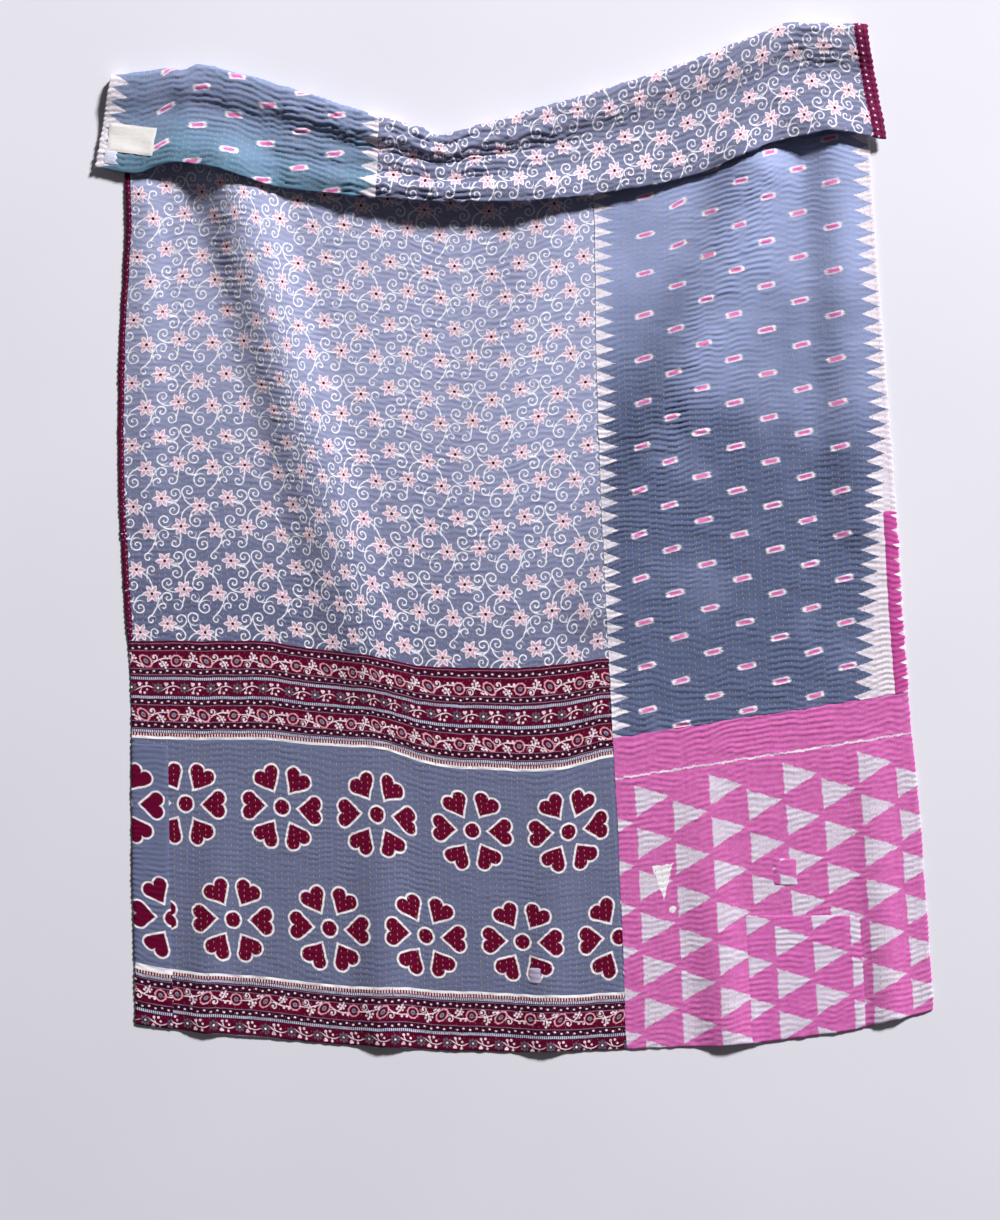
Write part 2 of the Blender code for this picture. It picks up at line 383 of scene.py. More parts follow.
def grid_mesh(name, points, cloth_place, flipped=False):
    """A mesh of quads through rows of points, with its place on the cloth as a UV map and its pucker troughs' painted
    shade as an attribute.
    """
    points = wander(points)
    rows, cols = points.shape[:2]
    corner = (np.arange(rows - 1)[:, None] * cols + np.arange(cols - 1)).ravel()
    quads = np.stack((corner, corner + 1, corner + 1 + cols, corner + cols), axis=1)
    if flipped:
        quads = quads[:, ::-1]
    mesh = bpy.data.meshes.new(name)
    mesh.from_pydata(points.reshape(-1, 3).tolist(), [], quads.tolist())
    mesh.shade_smooth()
    t, s = np.meshgrid(np.linspace(0.002, 0.998, rows), np.linspace(0.002, 0.998, cols), indexing="ij")
    layers = {"cloth": cloth_place[..., :2].reshape(-1, 2), "OFBake": np.stack((s, t), axis=-1).reshape(-1, 2)}
    for layer, values in layers.items():
        uv = mesh.uv_layers.new(name=layer)
        uv.data.foreach_set("uv", values[quads.ravel()].astype(np.float32).ravel())
    mesh.uv_layers.active = mesh.uv_layers["cloth"]
    # Painted shade: how much darker the cloth's colour is made in the troughs of the puckers.
    painted_trough_shade = mesh.attributes.new("painted_trough_shade", "FLOAT", "POINT")
    painted_trough_shade.data.foreach_set("value", cloth_place[..., 2].astype(np.float32).ravel())
    piece = bpy.data.objects.new(name, mesh)
    bpy.context.scene.collection.objects.link(piece)
    return piece


def finish_grid(middle, cloth_place, reach, rolled=()):
    """Lifts a grid off the middle of the cloth by its reach, and rolls the named edges over."""
    count = {side: len(EDGE_TURNS) if side in rolled else 0 for side in ("low", "high", "left", "right")}
    upward, sideways = unit(np.gradient(middle, axis=0)), unit(np.gradient(middle, axis=1))
    normal = unit(np.cross(sideways, upward))
    ends = ((count["low"], count["high"]), (count["left"], count["right"]))

    def widen(grid):
        return np.pad(grid, ends + ((0, 0),) * (grid.ndim - 2), mode="edge")

    def turns(before, inside, after):
        angles = np.radians(EDGE_TURNS)
        return np.concatenate((-angles[::-1][:before], np.zeros(inside), angles[:after]))

    over = turns(*ends[0][:1], middle.shape[0], ends[0][1])[:, None, None]
    beside = turns(*ends[1][:1], middle.shape[1], ends[1][1])[None, :, None]
    lean = widen(normal) * np.cos(beside) * np.cos(over)
    lean = lean + widen(sideways) * np.sin(beside) * np.cos(over) + widen(upward) * np.sin(over)
    place = widen(cloth_place)
    place[..., :2] += CLOTH / 2 * np.concatenate(np.broadcast_arrays(beside, over), axis=-1)
    return widen(middle) + widen(reach)[..., None] * lean, place


print("rows in a metre:", round(1 / ROW_PITCH))

# %% [markdown]
# ## The face
#
# The left block of the face is one printed sari, with a floral ground above, a border across it,
# a ground of hearts and a border again at the foot. The right block is a blue ikat above a pink
# cloth. The seam between the blocks leans a little, and so does the pink cloth's upper edge.

# %% Where the panels of the face meet
BORDER_TOP, BORDER_FOOT, FOOT_BORDER_TOP = -0.182, -0.358, -0.759
BLOCK_WIDTHS = {"left": 0.890, "right": 0.530}
PINK_TOP_LEFT, PINK_TOP_RIGHT = -0.353, -0.272
HEAD_STRETCH, HEAD_STRETCH_START = 0.148, 0.44
VINE_SLACK, VINE_SLACK_START = 0.055, 0.14


def seam_share(y):
    """The share across the cloth at which the two blocks meet, at a place up the body."""
    return mix(0.6155, 0.6290, np.clip((y + 0.90) / 1.50, 0.0, 1.2))


def left_edge(y):
    return 0.0 * y


def right_edge(y):
    return 0.0 * y + 1.0


def face_drop(across, level):
    """How far a crosswise thread of the left block hangs below its level."""
    names = list(SAG_LEVELS)
    total = read_curve(FACE_SAG, SAG_COLUMNS, names[0], across)
    for above, below in zip(names, names[1:]):
        share = (SAG_LEVELS[above] - level) / (SAG_LEVELS[above] - SAG_LEVELS[below])
        total = mix(total, read_curve(FACE_SAG, SAG_COLUMNS, below, across), np.clip(share, 0.0, 1.0))
    return total


def face_level(across, y):
    """The level of the crosswise thread that passes through a place."""
    level = y + 0.0 * across
    for _ in range(5):
        level = y + face_drop(across, level)
    return level


def floral_level(across, y):
    """The level in the floral cloth, which lies a little looser towards the border."""
    level = face_level(across, y)
    return level + VINE_SLACK * np.maximum(0.0, VINE_SLACK_START - level)


def ikat_level(across, y):
    """The level in the ikat, which is drawn together near its head beside the seam."""
    stretch = HEAD_STRETCH * (1.0 - soft_step((across - 0.70) / 0.08))
    return y + stretch * np.maximum(0.0, y - HEAD_STRETCH_START)


def pink_level(across, y):
    return y + mix(0.0, PINK_TOP_LEFT - PINK_TOP_RIGHT, (across - 0.62) / 0.38)


def hem_line(across):
    return station("hem_y", across)


def sagging(level):
    """A line across the left block that sags as its crosswise threads do."""
    return lambda across: level - face_drop(across, level)


def pink_top(across):
    return mix(PINK_TOP_LEFT, PINK_TOP_RIGHT, (across - 0.62) / 0.38)


print("the seam leans by", round(float(seam_share(0.6) - seam_share(-0.9)), 4), "of the width")

# %% A panel, and one that lies on the face
CRUMPLE_COLUMNS = ("ridge", "extra", "half_width", "shift")
CRUMPLES = (
    (0, 0.2, 0.045, 0.010),
    (1, 0.6, 0.040, -0.004),
)
GATHER_COLUMNS = ("x", "y", "half_width", "half_length", "extra")
FACE_GATHERS = (
    (0.575, 0.500, 0.120, 0.260, -0.62),
    (0.215, 0.480, 0.085, 0.190, -0.80),
    (0.270, 0.140, 0.110, 0.140, 0.20),
    (0.430, -0.340, 0.260, 0.060, 0.45),
)
TURNED_GATHERS = (
    (-0.200, 0.680, 0.240, 0.200, 1.10),
    (-0.560, 0.710, 0.120, 0.200, -0.20),
)
# How strongly the troughs of the puckers are painted darker, as shade.
TROUGH_SHADE_GAIN = 700.0
stitched = {}


def crumple(x, y, gathers):
    """How much deeper the puckers are where the cloth is pushed together, and flatter elsewhere."""
    total = 1.0
    for row in gathers:
        entry = dict(zip(GATHER_COLUMNS, row))
        away = ((x - entry["x"]) / entry["half_width"]) ** 2 + ((y - entry["y"]) / entry["half_length"]) ** 2
        total = total + entry["extra"] * np.exp(-away)
    for row in CRUMPLES:
        entry = dict(zip(CRUMPLE_COLUMNS, row))
        along, beside = ridge_share(dict(zip(RIDGE_COLUMNS, RIDGES[entry["ridge"]])), x, y)
        near = np.exp(-((beside + entry["shift"]) / entry["half_width"]) ** 2)
        total = total + entry["extra"] * near * soft_step((along - 0.05) / 0.4)
    return total


def make_panel(
    name, middle, u, v, strength,
    rolled=(), lapped=(), proud=0.0, held="laid", shift=(0.0, 0.0), gathers=FACE_GATHERS,
):
    """A stitched panel from the middle of its cloth and each point's place on it.

    The shift moves the print alone, so a lapped piece has the puckers of the panel under it.
    """
    held_down = np.where(np.arange(u.shape[1]) % 2 == 1, 0.65, 1.0)
    x = middle[..., 0]
    high, drawn = pucker(x, v)
    depth = strength * crumple(x, middle[..., 1], gathers)
    reach = CLOTH / 2 + proud + high * depth * held_down
    edges = {"low": np.s_[0], "high": np.s_[-1], "left": np.s_[:, 0], "right": np.s_[:, -1]}
    for side in lapped:
        reach[edges[side]] -= LAP_DIP + proud
    # The third value is painted shade, which darkens the cloth's colour in the puckers' troughs.
    cloth_place = np.stack((u + shift[0], v + shift[1], TROUGH_SHADE_GAIN * drawn * depth), axis=-1)
    face, place = finish_grid(middle, cloth_place, reach, rolled)
    piece = grid_mesh(name, face, place)
    stitched[name] = (middle, reach, stitch_phase(x, v))
    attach(piece, "root")
    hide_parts("quilt")
    return piece


def face_panel(name, left, right, low, high, level, width, strength, **sewing):
    """A panel on the body of the quilt between two lengthwise lines and two crosswise ones."""
    centre = (left(0.0) + right(0.0)) / 2
    centre_low, centre_high = float(low(np.array(centre))), float(high(np.array(centre)))
    rows = max(4, round((centre_high - centre_low) / ROW_PITCH))
    y_guess = np.linspace(centre_low, centre_high, rows + 1)[:, None]
    cols = max(2, 2 * round(width / COLUMN_PITCH))
    s = np.linspace(0.0, 1.0, cols + 1)[None, :]
    t = np.linspace(0.0, 1.0, rows + 1)[:, None]
    across = mix(left(y_guess), right(y_guess), s)
    y = mix(low(across), high(across), t)
    middle = body_place(across, y)
    u = s * width + taken_in(middle[..., 0], y, s)
    return make_panel(name, middle, u, level(across, y), strength, **sewing)


# %% Cut the left block
floral_panel = face_panel(
    "floral_panel", left_edge, seam_share, sagging(BORDER_TOP), roll_centre, floral_level,
    BLOCK_WIDTHS["left"], 0.0015, rolled=("left",), lapped=("right",),
)
border_panel = face_panel(
    "border_panel", left_edge, seam_share, sagging(BORDER_FOOT), sagging(BORDER_TOP), face_level,
    BLOCK_WIDTHS["left"], 0.0015, rolled=("left",), lapped=("right",),
)
hearts_panel = face_panel(
    "hearts_panel", left_edge, seam_share, sagging(FOOT_BORDER_TOP), sagging(BORDER_FOOT), face_level,
    BLOCK_WIDTHS["left"], 0.0012, rolled=("left",), lapped=("right",),
)
foot_border = face_panel(
    "foot_border", left_edge, seam_share, hem_line, sagging(FOOT_BORDER_TOP), face_level,
    BLOCK_WIDTHS["left"], 0.0015, rolled=("left", "low"), lapped=("right",),
)

# %% Cut the right block
ikat_panel = face_panel(
    "ikat_panel", seam_share, right_edge, pink_top, roll_centre, ikat_level,
    BLOCK_WIDTHS["right"], 0.0024, rolled=("right",),
)
pink_panel = face_panel(
    "pink_panel", seam_share, right_edge, hem_line, pink_top, pink_level,
    BLOCK_WIDTHS["right"], 0.0019, rolled=("right", "low"), lapped=("high",),
)


# %% [markdown]
# ## Under the panels and over the fold
#
# The back of the quilt is pieced too, from ikat and floral cloth. It lies on the floor under the
# body, shows on the outside of the roll, and is what we see of the turned-down end. There its
# crosswise threads run along the lip. The face goes on inside the roll, where little of it shows.

# %% The turned-down end and its inner side
BACK_SEAM = 0.355
BACK_WIDTH = 1.42
INNER_ROW_PITCH = 0.0040
BACK_ROW_PITCH = 0.0100


def fold_rows(left_share, right_share, row_pitch, cols):
    """The middle of the cloth from the lip back to the body, and each point's place on it."""
    flap_rows = round(0.150 / row_pitch)
    roll_rows = round(math.pi * ROLL_RADIUS / row_pitch)
    s = np.linspace(0.0, 1.0, cols + 1)[None, :]
    across = mix(left_share, right_share, s)
    down = np.linspace(1.0, 0.0, flap_rows + 1)[:, None]
    turn = np.linspace(1.0, 0.0, roll_rows + 1)[1:, None]
    flap = turned_place(across, down)
    roll = roll_place(across, turn)
    flap_v = flap[..., 1] - station("lip_y", across)
    roll_v = flap_v[-1:] + math.pi * ROLL_RADIUS * (1.0 - turn)
    u = np.broadcast_to((across - left_share) * BACK_WIDTH, (flap_rows + roll_rows + 1, cols + 1))
    return np.concatenate((flap, roll)), u, np.concatenate((flap_v, roll_v))


def turned_panel(name, left_share, right_share, strength, **sewing):
    cols = 2 * round((right_share - left_share) * BACK_WIDTH / COLUMN_PITCH)
    middle, u, v = fold_rows(left_share, right_share, ROW_PITCH, cols)
    return make_panel(name, middle, u, v, strength, held="folded", gathers=TURNED_GATHERS, **sewing)


def inner_panel(name, left_share, right_share):
    """The face of the cloth inside the roll and under the turned-down end."""
    cols = round((right_share - left_share) * BACK_WIDTH / COLUMN_PITCH)
    middle, u, v = fold_rows(left_share, right_share, INNER_ROW_PITCH, cols)
    return make_panel(name, middle[::-1], u, -v[::-1], 0.0, held="folded")


def back_panel(name, left_share, right_share):
    """The back of the cloth under the body."""
    cols = round((right_share - left_share) * BACK_WIDTH / COLUMN_PITCH)
    rows = round(1.68 / BACK_ROW_PITCH)
    across = np.linspace(left_share, right_share, cols + 1)[None, :]
    t = np.linspace(1.0, 0.0, rows + 1)[:, None]
    y = mix(hem_line(across), roll_centre(across), t)
    middle = body_place(across, y)
    u = np.broadcast_to((across - left_share) * BACK_WIDTH, y.shape)
    return make_panel(name, middle, u, -y, 0.0)


turned_ikat = turned_panel("turned_ikat", 0.0, BACK_SEAM, 0.0028, rolled=("low", "left"))
turned_floral = turned_panel("turned_floral", BACK_SEAM, 1.0, 0.0030, rolled=("low", "right"), lapped=("left",))
inner_floral = inner_panel("inner_floral", 0.0, float(seam_share(0.6)))
inner_ikat = inner_panel("inner_ikat", float(seam_share(0.6)), 1.0)
back_ikat = back_panel("back_ikat", 0.0, BACK_SEAM)
back_floral = back_panel("back_floral", BACK_SEAM, 1.0)


# %% [markdown]
# ## Small pieces that are lapped over the panels
#
# An old quilt is mended with what is at hand, so some patches lie over others with their print
# out of step. A strip binds the left edge of the face, a pink strip with notches runs down part
# of the right edge, and the turned-down end has a wide maroon binding on its right.

# %% Lap the strips and patches


def level_line(y):
    return lambda across: 0.0 * across + y


def share_line(share):
    return lambda y: 0.0 * y + share


left_binding = face_panel(
    "left_binding", left_edge, share_line(0.0064), sagging(BORDER_TOP), roll_centre, face_level,
    0.0150, 0.0015, rolled=("left",), lapped=("right", "low"), proud=0.0012,
)
strip_hearts = face_panel(
    "strip_hearts", left_edge, share_line(0.047), sagging(FOOT_BORDER_TOP), sagging(-0.368), face_level,
    0.0667, 0.0012, rolled=("left",), lapped=("right", "high"), proud=0.0012, shift=(-0.064, 0.006),
)
strip_border = face_panel(
    "strip_border", left_edge, share_line(0.047), hem_line, sagging(FOOT_BORDER_TOP), face_level,
    0.0667, 0.0015, rolled=("left", "low"), lapped=("right",), proud=0.0012, shift=(0.031, 0.006),
)
edge_strip = face_panel(
    "edge_strip", share_line(0.9835), right_edge, pink_top, level_line(0.0466), ikat_level,
    0.0235, 0.0024, rolled=("right",), lapped=("left", "high"), proud=0.0014,
)
pink_lap = face_panel(
    "pink_lap", share_line(0.7725), share_line(0.9180), hem_line, level_line(-0.664), pink_level,
    0.2040, 0.0019, rolled=("low",), lapped=("left", "right", "high"), proud=0.0012, shift=(0.1804, 0.021),
)
pink_patch = face_panel(
    "pink_patch", share_line(0.8110), share_line(0.8430), level_line(-0.612), level_line(-0.564), pink_level,
    0.0440, 0.0019, lapped=("left", "right", "low", "high"), proud=0.0012, shift=(0.1524, 0.043),
)
lilac_patch = face_panel(
    "lilac_patch", share_line(0.4960), share_line(0.5130), level_line(-0.785), level_line(-0.756), face_level,
    0.0240, 0.0012, lapped=("left", "right", "low", "high"), proud=0.0012,
)

# %% Bind the right end of the turned-down part
BINDING_SHARE = 0.9825
binding_middle, binding_u, binding_v = fold_rows(BINDING_SHARE, 1.0, ROW_PITCH, 4)
turned_binding = make_panel(
    "turned_binding", binding_middle, binding_u, binding_v, 0.0030,
    rolled=("low", "right"), lapped=("left",), proud=0.0012, held="folded", gathers=TURNED_GATHERS,
)

# %% [markdown]
# ## The running stitch
#
# Each stitch is a short piece of thick cotton thread that lies in a trough. We find the troughs
# along every second column of a panel's grid, and lay one small pointed lozenge of thread in
# each. All the stitches of a panel are one joined mesh.

# %% Lay the stitches
STITCH_LENGTH = 0.0046
THREAD_WIDTH = 0.0010
THREAD_RISE = 0.0007
# Each row below gives the place along, beside and above.
LOZENGE = np.array((
    (-0.50, 0.00, -0.25),
    (-0.25, -0.50, 0.00),
    (-0.25, 0.00, 1.00),
    (-0.25, 0.50, 0.00),
    (0.25, -0.50, 0.00),
    (0.25, 0.00, 1.00),
    (0.25, 0.50, 0.00),
    (0.50, 0.00, -0.25),
))
LOZENGE_FACES = ((0, 2, 1), (0, 3, 2), (1, 2, 5, 4), (2, 3, 6, 5), (4, 5, 7), (5, 6, 7))


def stitches(name, panel):
    """The running stitch of one panel, as one mesh of small lozenges of thread."""
    middle, reach, phase = stitched[panel]
    places, ways, ups = [], [], []
    upward, sideways = unit(np.gradient(middle, axis=0)), unit(np.gradient(middle, axis=1))
    normal = unit(np.cross(sideways, upward))
    top = middle + normal * (reach[..., None] + 0.0001)
    rows = np.arange(middle.shape[0])
    for column in range(1, middle.shape[1] - 1, 2):
        counts = np.maximum.accumulate(phase[:, column] - 0.5)
        troughs = np.arange(math.ceil(counts[0] + 0.3), math.floor(counts[-1] - 0.3) + 1)
        at = np.interp(troughs, counts, rows)
        for grid, found in ((top, places), (upward, ways), (normal, ups)):
            found.append(np.stack([np.interp(at, rows, grid[:, column, axis]) for axis in range(3)], axis=-1))
    place, way, up = np.concatenate(places), unit(np.concatenate(ways)), unit(np.concatenate(ups))
    beside = np.cross(way, up)
    jitter = np.random.default_rng(len(place)).normal(0.0, 1.0, (len(place), 3))
    way = unit(way + beside * (0.06 * jitter[:, :1]))
    length = STITCH_LENGTH * (1.0 + 0.14 * jitter[:, 1:2])
    place = place + beside * (0.0004 * jitter[:, 2:])
    points = [
        place + way * length * along + beside * THREAD_WIDTH * across + up * THREAD_RISE * above
        for along, across, above in LOZENGE
    ]
    points = wander(np.stack(points, axis=1).reshape(-1, 3))
    faces = [tuple(corner + 8 * i for corner in face) for i in range(len(place)) for face in LOZENGE_FACES]
    mesh = bpy.data.meshes.new(name)
    mesh.from_pydata(points.tolist(), [], faces)
    mesh.shade_smooth()
    piece = bpy.data.objects.new(name, mesh)
    bpy.context.scene.collection.objects.link(piece)
    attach(piece, "root")
    print(name, "has", len(place), "stitches")
    return piece


thread_pieces = [
    stitches("thread_" + panel.replace("_panel", ""), panel)
    for panel in (
        "floral_panel", "border_panel", "hearts_panel", "foot_border", "ikat_panel", "pink_panel",
        "turned_ikat", "turned_floral",
    )
]

# %% [markdown]
# ## Finishes
#
# Everything here is plain-woven sari cotton, printed or dyed, then washed soft. That gives the
# eye a matte surface with a fine grain of threads, a print whose edges are a little soft, and
# colour that fades unevenly with wear. Shade is painted into the colour as well: the troughs of
# the puckers are darker, and the floral and ikat grounds are darker towards the foot. Colours are
# picked as sRGB hex values and turned to linear, which is what the renderer works in.

# %% Helpers for every finish
THREAD_SPACING = 1.3
MM = 1000.0


def colour(code):
    """An sRGB hex value as a linear colour."""
    parts = [int(code[i:i + 2], 16) / 255 for i in (1, 3, 5)]
    return tuple(p / 12.92 if p <= 0.04045 else ((p + 0.055) / 1.055) ** 2.4 for p in parts) + (1.0,)


def add(tree, kind, *inputs, **settings):
    """Adds one node with its settings, links or fills its inputs, and gives its first output."""
    node = tree.nodes.new("ShaderNode" + kind)
    for name, value in settings.items():
        setattr(node, name, value)
    for socket, value in zip([s for s in node.inputs if s.enabled], inputs):
        if isinstance(value, bpy.types.NodeSocket):
            tree.links.new(value, socket)
        elif value is not None:
            socket.default_value = value
    return next(output for output in node.outputs if output.enabled)


def new_cotton(name):
    """A bare material, and the place on the cloth in millimetres."""
    material = bpy.data.materials.new(name)
    material.use_nodes = True
    tree = material.node_tree
    tree.nodes.remove(tree.nodes["Principled BSDF"])
    place = add(tree, "UVMap", uv_map="cloth")
    return material, add(tree, "VectorMath", place, (MM, MM, 0.0), operation="MULTIPLY")


def woven(material, place, tint, wear=0.16, roughness=0.88):
    """Ends a finish: fades the colour unevenly, paints shade into the troughs of the puckers, adds the weave, and joins
    the shader.
    """
    tree = material.node_tree
    blotch = add(tree, "TexNoise", place, 0.011, 3.0, 0.6, noise_dimensions="2D")
    slub_place = add(tree, "VectorMath", place, (1.0, 0.06, 1.0), operation="MULTIPLY")
    slub = add(tree, "TexNoise", slub_place, 0.55, 2.0, 0.6, noise_dimensions="2D")
    fleck = add(tree, "TexNoise", place, 0.38, 2.0, 0.7, noise_dimensions="2D")
    worn = add(tree, "Math", blotch, 0.9, 0.05, operation="MULTIPLY_ADD")
    worn = add(tree, "Math", slub, 0.55, worn, operation="MULTIPLY_ADD")
    worn = add(tree, "Math", fleck, 0.45, worn, operation="MULTIPLY_ADD")
    wear_and_painted_shade = add(tree, "MapRange", worn, 0.70, 1.30, 1.0 - wear, 1.0 + wear)
    # Painted shade: the colour is darkened in the troughs of the puckers.
    painted_trough_shade = add(tree, "Attribute", attribute_name="painted_trough_shade").node.outputs["Fac"]
    painted_trough_shade = add(tree, "MapRange", painted_trough_shade, 0.0, 2.0, 1.0, 0.45)
    wear_and_painted_shade = add(tree, "Math", wear_and_painted_shade, painted_trough_shade, operation="MULTIPLY")
    shade = add(tree, "VectorMath", tint, None, None, wear_and_painted_shade, operation="SCALE")
    warp_and_weft = add(tree, "VectorMath", place, (2 * math.pi / THREAD_SPACING,) * 3, operation="MULTIPLY")
    waves = add(tree, "VectorMath", warp_and_weft, operation="SINE")
    split = add(tree, "SeparateXYZ", waves).node.outputs
    weave = add(tree, "Math", split[0], split[1], operation="MULTIPLY")
    rough = add(tree, "Math", fleck, 1.6, weave, operation="MULTIPLY_ADD")
    crinkle = add(tree, "VectorMath", place, (0.45, 1.0, 1.0), operation="MULTIPLY")
    crinkle = add(tree, "TexNoise", crinkle, 0.16, 2.0, 0.55, noise_dimensions="2D")
    rough = add(tree, "Math", crinkle, 5.0, rough, operation="MULTIPLY_ADD")
    bump = add(tree, "Bump", 0.35, 0.00035, None, rough)
    shader = tree.nodes.new("ShaderNodeBsdfPrincipled")
    shader.inputs["Roughness"].default_value = roughness
    shader.inputs["IOR"].default_value = 1.46
    shader.inputs["Specular IOR Level"].default_value = 0.08
    shader.inputs["Sheen Weight"].default_value = 0.02
    shader.inputs["Sheen Roughness"].default_value = 0.6
    tree.links.new(shade, shader.inputs["Base Color"])
    tree.links.new(bump, shader.inputs["Normal"])
    tree.links.new(shader.outputs[0], tree.nodes["Material Output"].inputs["Surface"])
    return material


def inside(tree, distance, edge, soft=0.5):
    """1 where a distance is under an edge, and 0 past it, with a soft step between."""
    return add(
        tree, "MapRange", distance, edge + soft, edge - soft, 0.0, 1.0, interpolation_type="SMOOTHSTEP",
    )


def stamped(tree, ground, ink, distance, edge, soft=0.5):
    """An ink printed over a ground, wherever a distance is under an edge."""
    return add(tree, "Mix", inside(tree, distance, edge, soft), ground, ink, data_type="RGBA")


def repeated(tree, place, centre, cell):
    """The place seen from the nearest copy of a centre, where copies stand a cell apart."""
    off = add(tree, "VectorMath", place, (*centre, 0.0), operation="SUBTRACT")
    half = (cell[0] / 2, cell[1] / 2, 1.0)
    return add(tree, "VectorMath", off, half, tuple(-h for h in half), operation="WRAP")


def ragged(tree, place, amount, size):
    """The place shifted a little by noise, so that a printed edge isn't dead straight."""
    noise = add(tree, "TexNoise", place, 1.0 / size, 2.0, 0.6, noise_dimensions="2D").node.outputs["Color"]
    centred = add(tree, "VectorMath", noise, (0.5, 0.5, 0.5), operation="SUBTRACT")
    return add(tree, "VectorMath", centred, (amount * 2,) * 3, place, operation="MULTIPLY_ADD")


print("the weave is drawn", THREAD_SPACING, "mm apart")

# %% [markdown]
# ### The flowering vine
#
# The floral cotton is printed with pink six-petalled flowers on white vines that end in curls.
# One repeat is 114 by 111 mm, with four flowers. Its chart is a table of flowers, a table of
# curls and a table of stems. A curl is a spiral, so its distance is worked out from an angle and
# a radius. A stem is an arc of a circle, and most end where a curl begins.

# %% Chart of the flowering vine, in millimetres
VINE_CELL = (114.4, 110.6)
VINE_WIDTH = 1.2
FLOWER_RADIUS = 16.6
PETAL_WIDTH = 3.9
FLOWERS = ((0.0, 0.0), (58.0, -6.6), (33.8, 36.0), (83.0, 50.5))
CURL_COLUMNS = ("x", "y", "radius", "join_degrees", "winds")
CURLS = (
    (-12.5, -28.2, 9.6, 15, -1),
    (-27.2, 11.6, 11.0, 235, -1),
    (15.6, 60.5, 12.0, 225, -1),
    (27.0, 8.8, 11.6, 148, 1),
    (60.6, 35.6, 8.4, 195, -1),
    (36.6, -31.2, 12.0, 140, 1),
    (17.6, -13.0, 7.8, 290, -1),
    (55.4, -53.4, 7.4, 120, 1),
    (85.4, -14.2, 10.2, 155, -1),
    (77.6, -30.4, 7.4, 150, -1),
    (106.0, 57.6, 11.4, 300, 1),
    (102.6, 29.0, 11.0, 45, -1),
)
STEM_COLUMNS = ("start_x", "start_y", "curl", "end_x", "end_y", "bow")
STEMS = (
    (-1.0, -4.0, 0, None, None, 0.05),
    (-4.0, -1.0, 1, None, None, 0.17),
    (26.0, 35.0, 2, None, None, 0.18),
    (19.0, 34.3, None, 2.2, 10.0, -0.196),
    (29.0, 30.5, 3, None, None, -0.15),
    (41.0, 32.0, None, 60.0, 3.0, 0.13),
    (51.0, 24.5, 4, None, None, 0.06),
    (50.0, -7.5, 5, None, None, -0.186),
    (28.6, -20.5, 6, None, None, 0.10),
    (68.0, -8.0, 7, None, None, 0.155),
    (71.2, -17.0, 8, None, None, 0.12),
    (69.0, -29.0, 9, None, None, 0.08),
    (90.0, 46.5, 10, None, None, -0.23),
    (92.0, 44.5, 11, None, None, 0.15),
)
CURL_PITCH = 8.2
CURL_EYE = 1.5


def curl_join(index):
    """Where a stem meets a curl."""
    curl = dict(zip(CURL_COLUMNS, CURLS[index]))
    angle = math.radians(curl["join_degrees"])
    return curl["x"] + curl["radius"] * math.cos(angle), curl["y"] + curl["radius"] * math.sin(angle)


def curl_distance(tree, place, curl, cell=VINE_CELL, pitch=CURL_PITCH):
    """The distance from a curl's line, a spiral that winds in from its join to its eye."""
    seen = repeated(tree, place, (curl["x"], curl["y"]), cell)
    reach = add(tree, "VectorMath", seen, operation="LENGTH")
    split = add(tree, "SeparateXYZ", seen).node.outputs
    angle = add(tree, "Math", split[1], split[0], operation="ARCTAN2")
    turns = curl["winds"] / (2.0 * math.pi)
    start = -math.radians(curl["join_degrees"]) * turns - curl["radius"] / pitch
    arms = add(tree, "Math", angle, turns, start, operation="MULTIPLY_ADD")
    arms = add(tree, "Math", reach, 1.0 / pitch, arms, operation="MULTIPLY_ADD")
    gap = add(tree, "Math", arms, 0.5, operation="PINGPONG")
    gap = add(tree, "Math", gap, pitch, operation="MULTIPLY")
    past = add(tree, "Math", reach, curl["radius"], operation="SUBTRACT")
    eye = add(tree, "Math", CURL_EYE, reach, operation="SUBTRACT")
    return add(tree, "Math", gap, add(tree, "Math", past, eye, operation="MAXIMUM"), operation="MAXIMUM")


def stem_distance(tree, place, stem, cell=VINE_CELL):
    """The distance from a stem, an arc between two places that bows to its left."""
    start = Vector((stem["start_x"], stem["start_y"]))
    end = Vector((stem["end_x"], stem["end_y"]) if stem["curl"] is None else curl_join(stem["curl"]))
    chord = end - start
    rise = abs(chord.length * stem["bow"])
    radius = (chord.length**2 / 4 + rise**2) / (2 * rise)
    left = Vector((-chord.y, chord.x)).normalized() * math.copysign(1.0, stem["bow"])
    middle = (start + end) / 2
    to_middle = left * (radius - rise)
    seen = add(tree, "VectorMath", repeated(tree, place, middle, cell), (*to_middle, 0.0), operation="ADD")
    reach = add(tree, "VectorMath", seen, operation="LENGTH")
    off = add(tree, "Math", reach, radius, operation="SUBTRACT")
    off = add(tree, "Math", off, operation="ABSOLUTE")
    facing = add(tree, "VectorMath", seen, (*left, 0.0), operation="DOT_PRODUCT")
    outside = add(tree, "Math", radius - rise, facing, operation="SUBTRACT")
    return add(tree, "Math", off, outside, operation="MAXIMUM")


def nearest_flower(tree, place, flowers, cell):
    """The place seen from the nearest flower of the repeat, and how far off that is."""
    seen = repeated(tree, place, flowers[0], cell)
    reach = add(tree, "VectorMath", seen, operation="LENGTH")
    for flower in flowers[1:]:
        other = repeated(tree, place, flower, cell)
        other_reach = add(tree, "VectorMath", other, operation="LENGTH")
        closer = add(tree, "Math", other_reach, reach, operation="LESS_THAN")
        seen = add(tree, "Mix", closer, seen, other, data_type="VECTOR")
        reach = add(tree, "Math", reach, other_reach, operation="MINIMUM")
    return seen, reach


